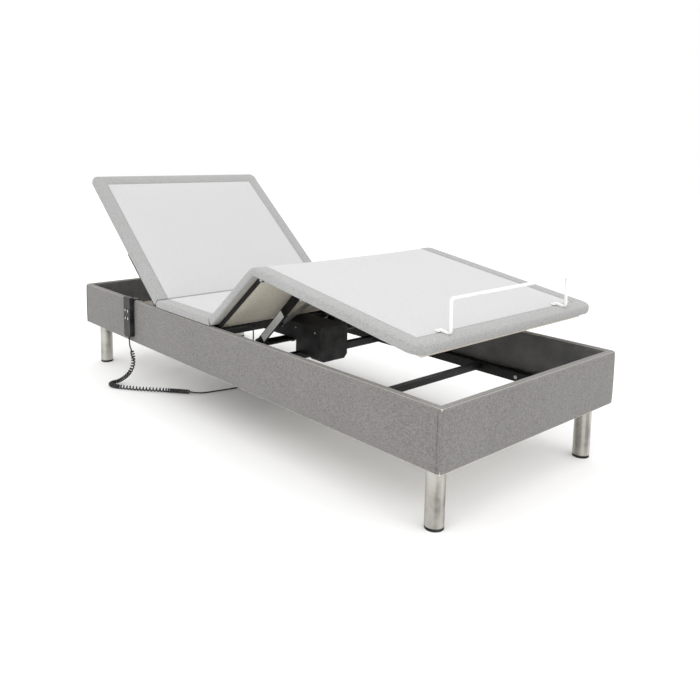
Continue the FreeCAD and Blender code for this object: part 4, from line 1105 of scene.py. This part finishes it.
def build_drive_screws():
    """A row of domed screw heads along each long edge of the drive housing."""
    low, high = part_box("drive_upper_shell")
    z = (low[2] + high[2]) / 2 - 0.004
    count = 7
    for side, name in ((low[1], "near"), (high[1], "far")):
        way = math.copysign(1, side)
        points, faces = [], []
        for k in range(count):
            x = low[0] + 0.03 + (high[0] - low[0] - 0.06) * k / (count - 1)
            head = [(0.0001, 0.0022), (0.0012, 0.0022), (0.0026, 0.0018), (0.0036, 0.0008),
                    (0.0038, -0.0005)]
            ring, quads = lathe(head, 16, Vector((x, side, z)), Vector((0, way, 0)))
            append_shape(points, faces, ring, quads)
        screws = new_piece(f"drive_screws_{name}", points, faces, ["zinc"], BASE)
        tidy_normals(screws)


# ---- stage ----------------------------------------------------------------------------
CAMERA_PLACE = Vector((2.0005, -1.6773, 0.9187))
CAMERA_YAW, CAMERA_PITCH, CAMERA_ROLL = (math.radians(v) for v in (138.801, -7.951, 0.921))
CAMERA_LENS = 38.183
CAMERA_SHIFT = (0.04, -0.142857)


def build_camera():
    forward = Vector((math.cos(CAMERA_PITCH) * math.cos(CAMERA_YAW),
                      math.cos(CAMERA_PITCH) * math.sin(CAMERA_YAW), math.sin(CAMERA_PITCH)))
    right = forward.cross(Vector((0, 0, 1))).normalized()
    up = right.cross(forward)
    cosine, sine = math.cos(CAMERA_ROLL), math.sin(CAMERA_ROLL)
    side = right * cosine + up * sine
    top = up * cosine - right * sine
    data = bpy.data.cameras.new("Camera")
    data.lens = CAMERA_LENS
    data.shift_x, data.shift_y = CAMERA_SHIFT
    data.clip_end = 60
    camera = add_object("Camera", data)
    turn = Matrix((side, top, -forward)).transposed().to_4x4()
    camera.matrix_world = Matrix.Translation(CAMERA_PLACE) @ turn
    bpy.context.scene.camera = camera


def soft_light(name, place, aim, size, power):
    data = bpy.data.lights.new(name, "AREA")
    data.shape = "RECTANGLE"
    data.size, data.size_y = size
    data.energy = power
    light = add_object(name, data)
    light.location = place
    light.rotation_euler = (Vector(aim) - Vector(place)).to_track_quat("-Z", "Y").to_euler()


def build_floor(looks):
    """A pale floor in one sheet."""
    reach = 14.0
    steps = 8
    points = [Vector((-reach + 2 * reach * i / steps, -reach + 2 * reach * j / steps, 0))
              for i in range(steps + 1) for j in range(steps + 1)]
    faces = [
        (i * (steps + 1) + j, (i + 1) * (steps + 1) + j, (i + 1) * (steps + 1) + j + 1,
         i * (steps + 1) + j + 1)
        for i in range(steps) for j in range(steps)
    ]
    paper = Finish("studio_floor")
    shade = paper.noise(2, 2)
    paper.colour(paper.ramp(shade, [(0, mix(looks.backdrop, (0, 0, 0), 0.01)),
                                    (1, looks.backdrop)]))
    paper.set(Roughness=0.9, Specular_IOR_Level=0.1)
    mesh = bpy.data.meshes.new("studio_floor")
    mesh.from_pydata([tuple(p) for p in points], [], faces)
    mesh.materials.append(paper.material)
    floor = add_object("studio_floor", mesh)


def build_stage(looks):
    build_camera()
    build_floor(looks)
    world = bpy.data.worlds.new("Studio")
    world.use_nodes = True
    background = world.node_tree.nodes["Background"]
    nodes, links = world.node_tree.nodes, world.node_tree.links
    place = nodes.new("ShaderNodeTexCoord")
    split = nodes.new("ShaderNodeSeparateXYZ")
    glow = nodes.new("ShaderNodeMapRange")
    for socket, value in (("From Min", 0.25), ("From Max", 0.9), ("To Min", 1.0),
                          ("To Max", looks.sky_glow)):
        glow.inputs[socket].default_value = value
    links.new(place.outputs["Generated"], split.inputs[0])
    links.new(split.outputs["Z"], glow.inputs["Value"])
    links.new(glow.outputs["Result"], background.inputs["Strength"])
    background.inputs["Color"].default_value = (1, 1, 1, 1)
    bpy.context.scene.world = world
    bpy.context.scene.view_settings.view_transform = "Standard"
    soft_light("Key", (1.2, -3.4, 3.4), (0, 0, 0.3), (3.2, 2.2), looks.key_power)
    soft_light("Fill", (4.0, 1.2, 2.6), (0, 0, 0.3), (2.6, 2.2), looks.fill_power)


# ---- operators and panel --------------------------------------------------------------
class BED_OT_nodes(bpy.types.Operator):
    """Give every carried-over part its finish"""

    bl_idname = "bed.nodes"
    bl_label = "Frame Finishes"

    def execute(self, context):
        finish_nodes()
        return {"FINISHED"}


class BED_OT_box(bpy.types.Operator):
    """Make the box cover, its corner seams and its felt lining"""

    bl_idname = "bed.box"
    bl_label = "Upholstered Box"

    def execute(self, context):
        build_box_cover(context.scene.bed_box)
        build_lining()
        return {"FINISHED"}


class BED_OT_cord(bpy.types.Operator):
    """Make the handset's curly cord"""

    bl_idname = "bed.cord"
    bl_label = "Handset Cord"

    def execute(self, context):
        build_cord(context.scene.bed_cord)
        return {"FINISHED"}


class BED_OT_back_pad(bpy.types.Operator):
    """Make the back section's pad"""

    bl_idname = "bed.back_pad"
    bl_label = "Back Pad"

    def execute(self, context):
        build_back_pad(context.scene.bed_pads)
        return {"FINISHED"}


class BED_OT_seat_pad(bpy.types.Operator):
    """Make the fixed seat section's pad and the piping in its two creases"""

    bl_idname = "bed.seat_pad"
    bl_label = "Seat Pad"

    def execute(self, context):
        build_seat_pad(context.scene.bed_pads)
        build_crease_piping()
        return {"FINISHED"}


class BED_OT_leg_cover(bpy.types.Operator):
    """Make the cover that runs over the thigh, knee and calf sections"""

    bl_idname = "bed.leg_cover"
    bl_label = "Leg Pad"

    def execute(self, context):
        build_leg_cover(context.scene.bed_pads)
        return {"FINISHED"}


class BED_OT_details(bpy.types.Operator):
    """Make the key marks, lever label, eyelets and housing screws"""

    bl_idname = "bed.details"
    bl_label = "Small Details"

    def execute(self, context):
        build_button_marks()
        build_lever_label()
        build_eyelets()
        build_drive_screws()
        return {"FINISHED"}


class BED_OT_stage(bpy.types.Operator):
    """Set up the floor, lights and camera"""

    bl_idname = "bed.stage"
    bl_label = "Studio"

    def execute(self, context):
        build_stage(context.scene.bed_stage)
        return {"FINISHED"}


OPERATORS = (BED_OT_stage, BED_OT_nodes, BED_OT_cord, BED_OT_box, BED_OT_back_pad,
             BED_OT_seat_pad, BED_OT_leg_cover, BED_OT_details)
GROUPS = {"bed_box": BoxLooks, "bed_pads": PadLooks, "bed_cord": CordLooks,
          "bed_metal": MetalLooks, "bed_stage": StageLooks}


class BED_PT_panel(bpy.types.Panel):
    bl_label = "Adjustable Bed Base"
    bl_idname = "BED_PT_panel"
    bl_space_type = "VIEW_3D"
    bl_region_type = "UI"
    bl_category = "Bed Base"

    def draw(self, context):
        for operator in OPERATORS:
            self.layout.operator(operator.bl_idname)
        for name, group in GROUPS.items():
            box = self.layout.box()
            for item in group.__annotations__:
                box.prop(getattr(context.scene, name), item)


def register():
    for item in (*GROUPS.values(), *OPERATORS, BED_PT_panel):
        bpy.utils.register_class(item)
    for name, group in GROUPS.items():
        setattr(bpy.types.Scene, name, PointerProperty(type=group))


def unregister():
    for name in GROUPS:
        delattr(bpy.types.Scene, name)
    for item in (BED_PT_panel, *OPERATORS[::-1], *list(GROUPS.values())[::-1]):
        bpy.utils.unregister_class(item)


def main():
    register()
    bpy.ops.bed.stage()
    bpy.ops.bed.nodes()
    bpy.ops.bed.cord()
    bpy.ops.bed.box()
    bpy.ops.bed.back_pad()
    bpy.ops.bed.seat_pad()
    bpy.ops.bed.leg_cover()
    bpy.ops.bed.details()


if __name__ == "__main__":
    main()
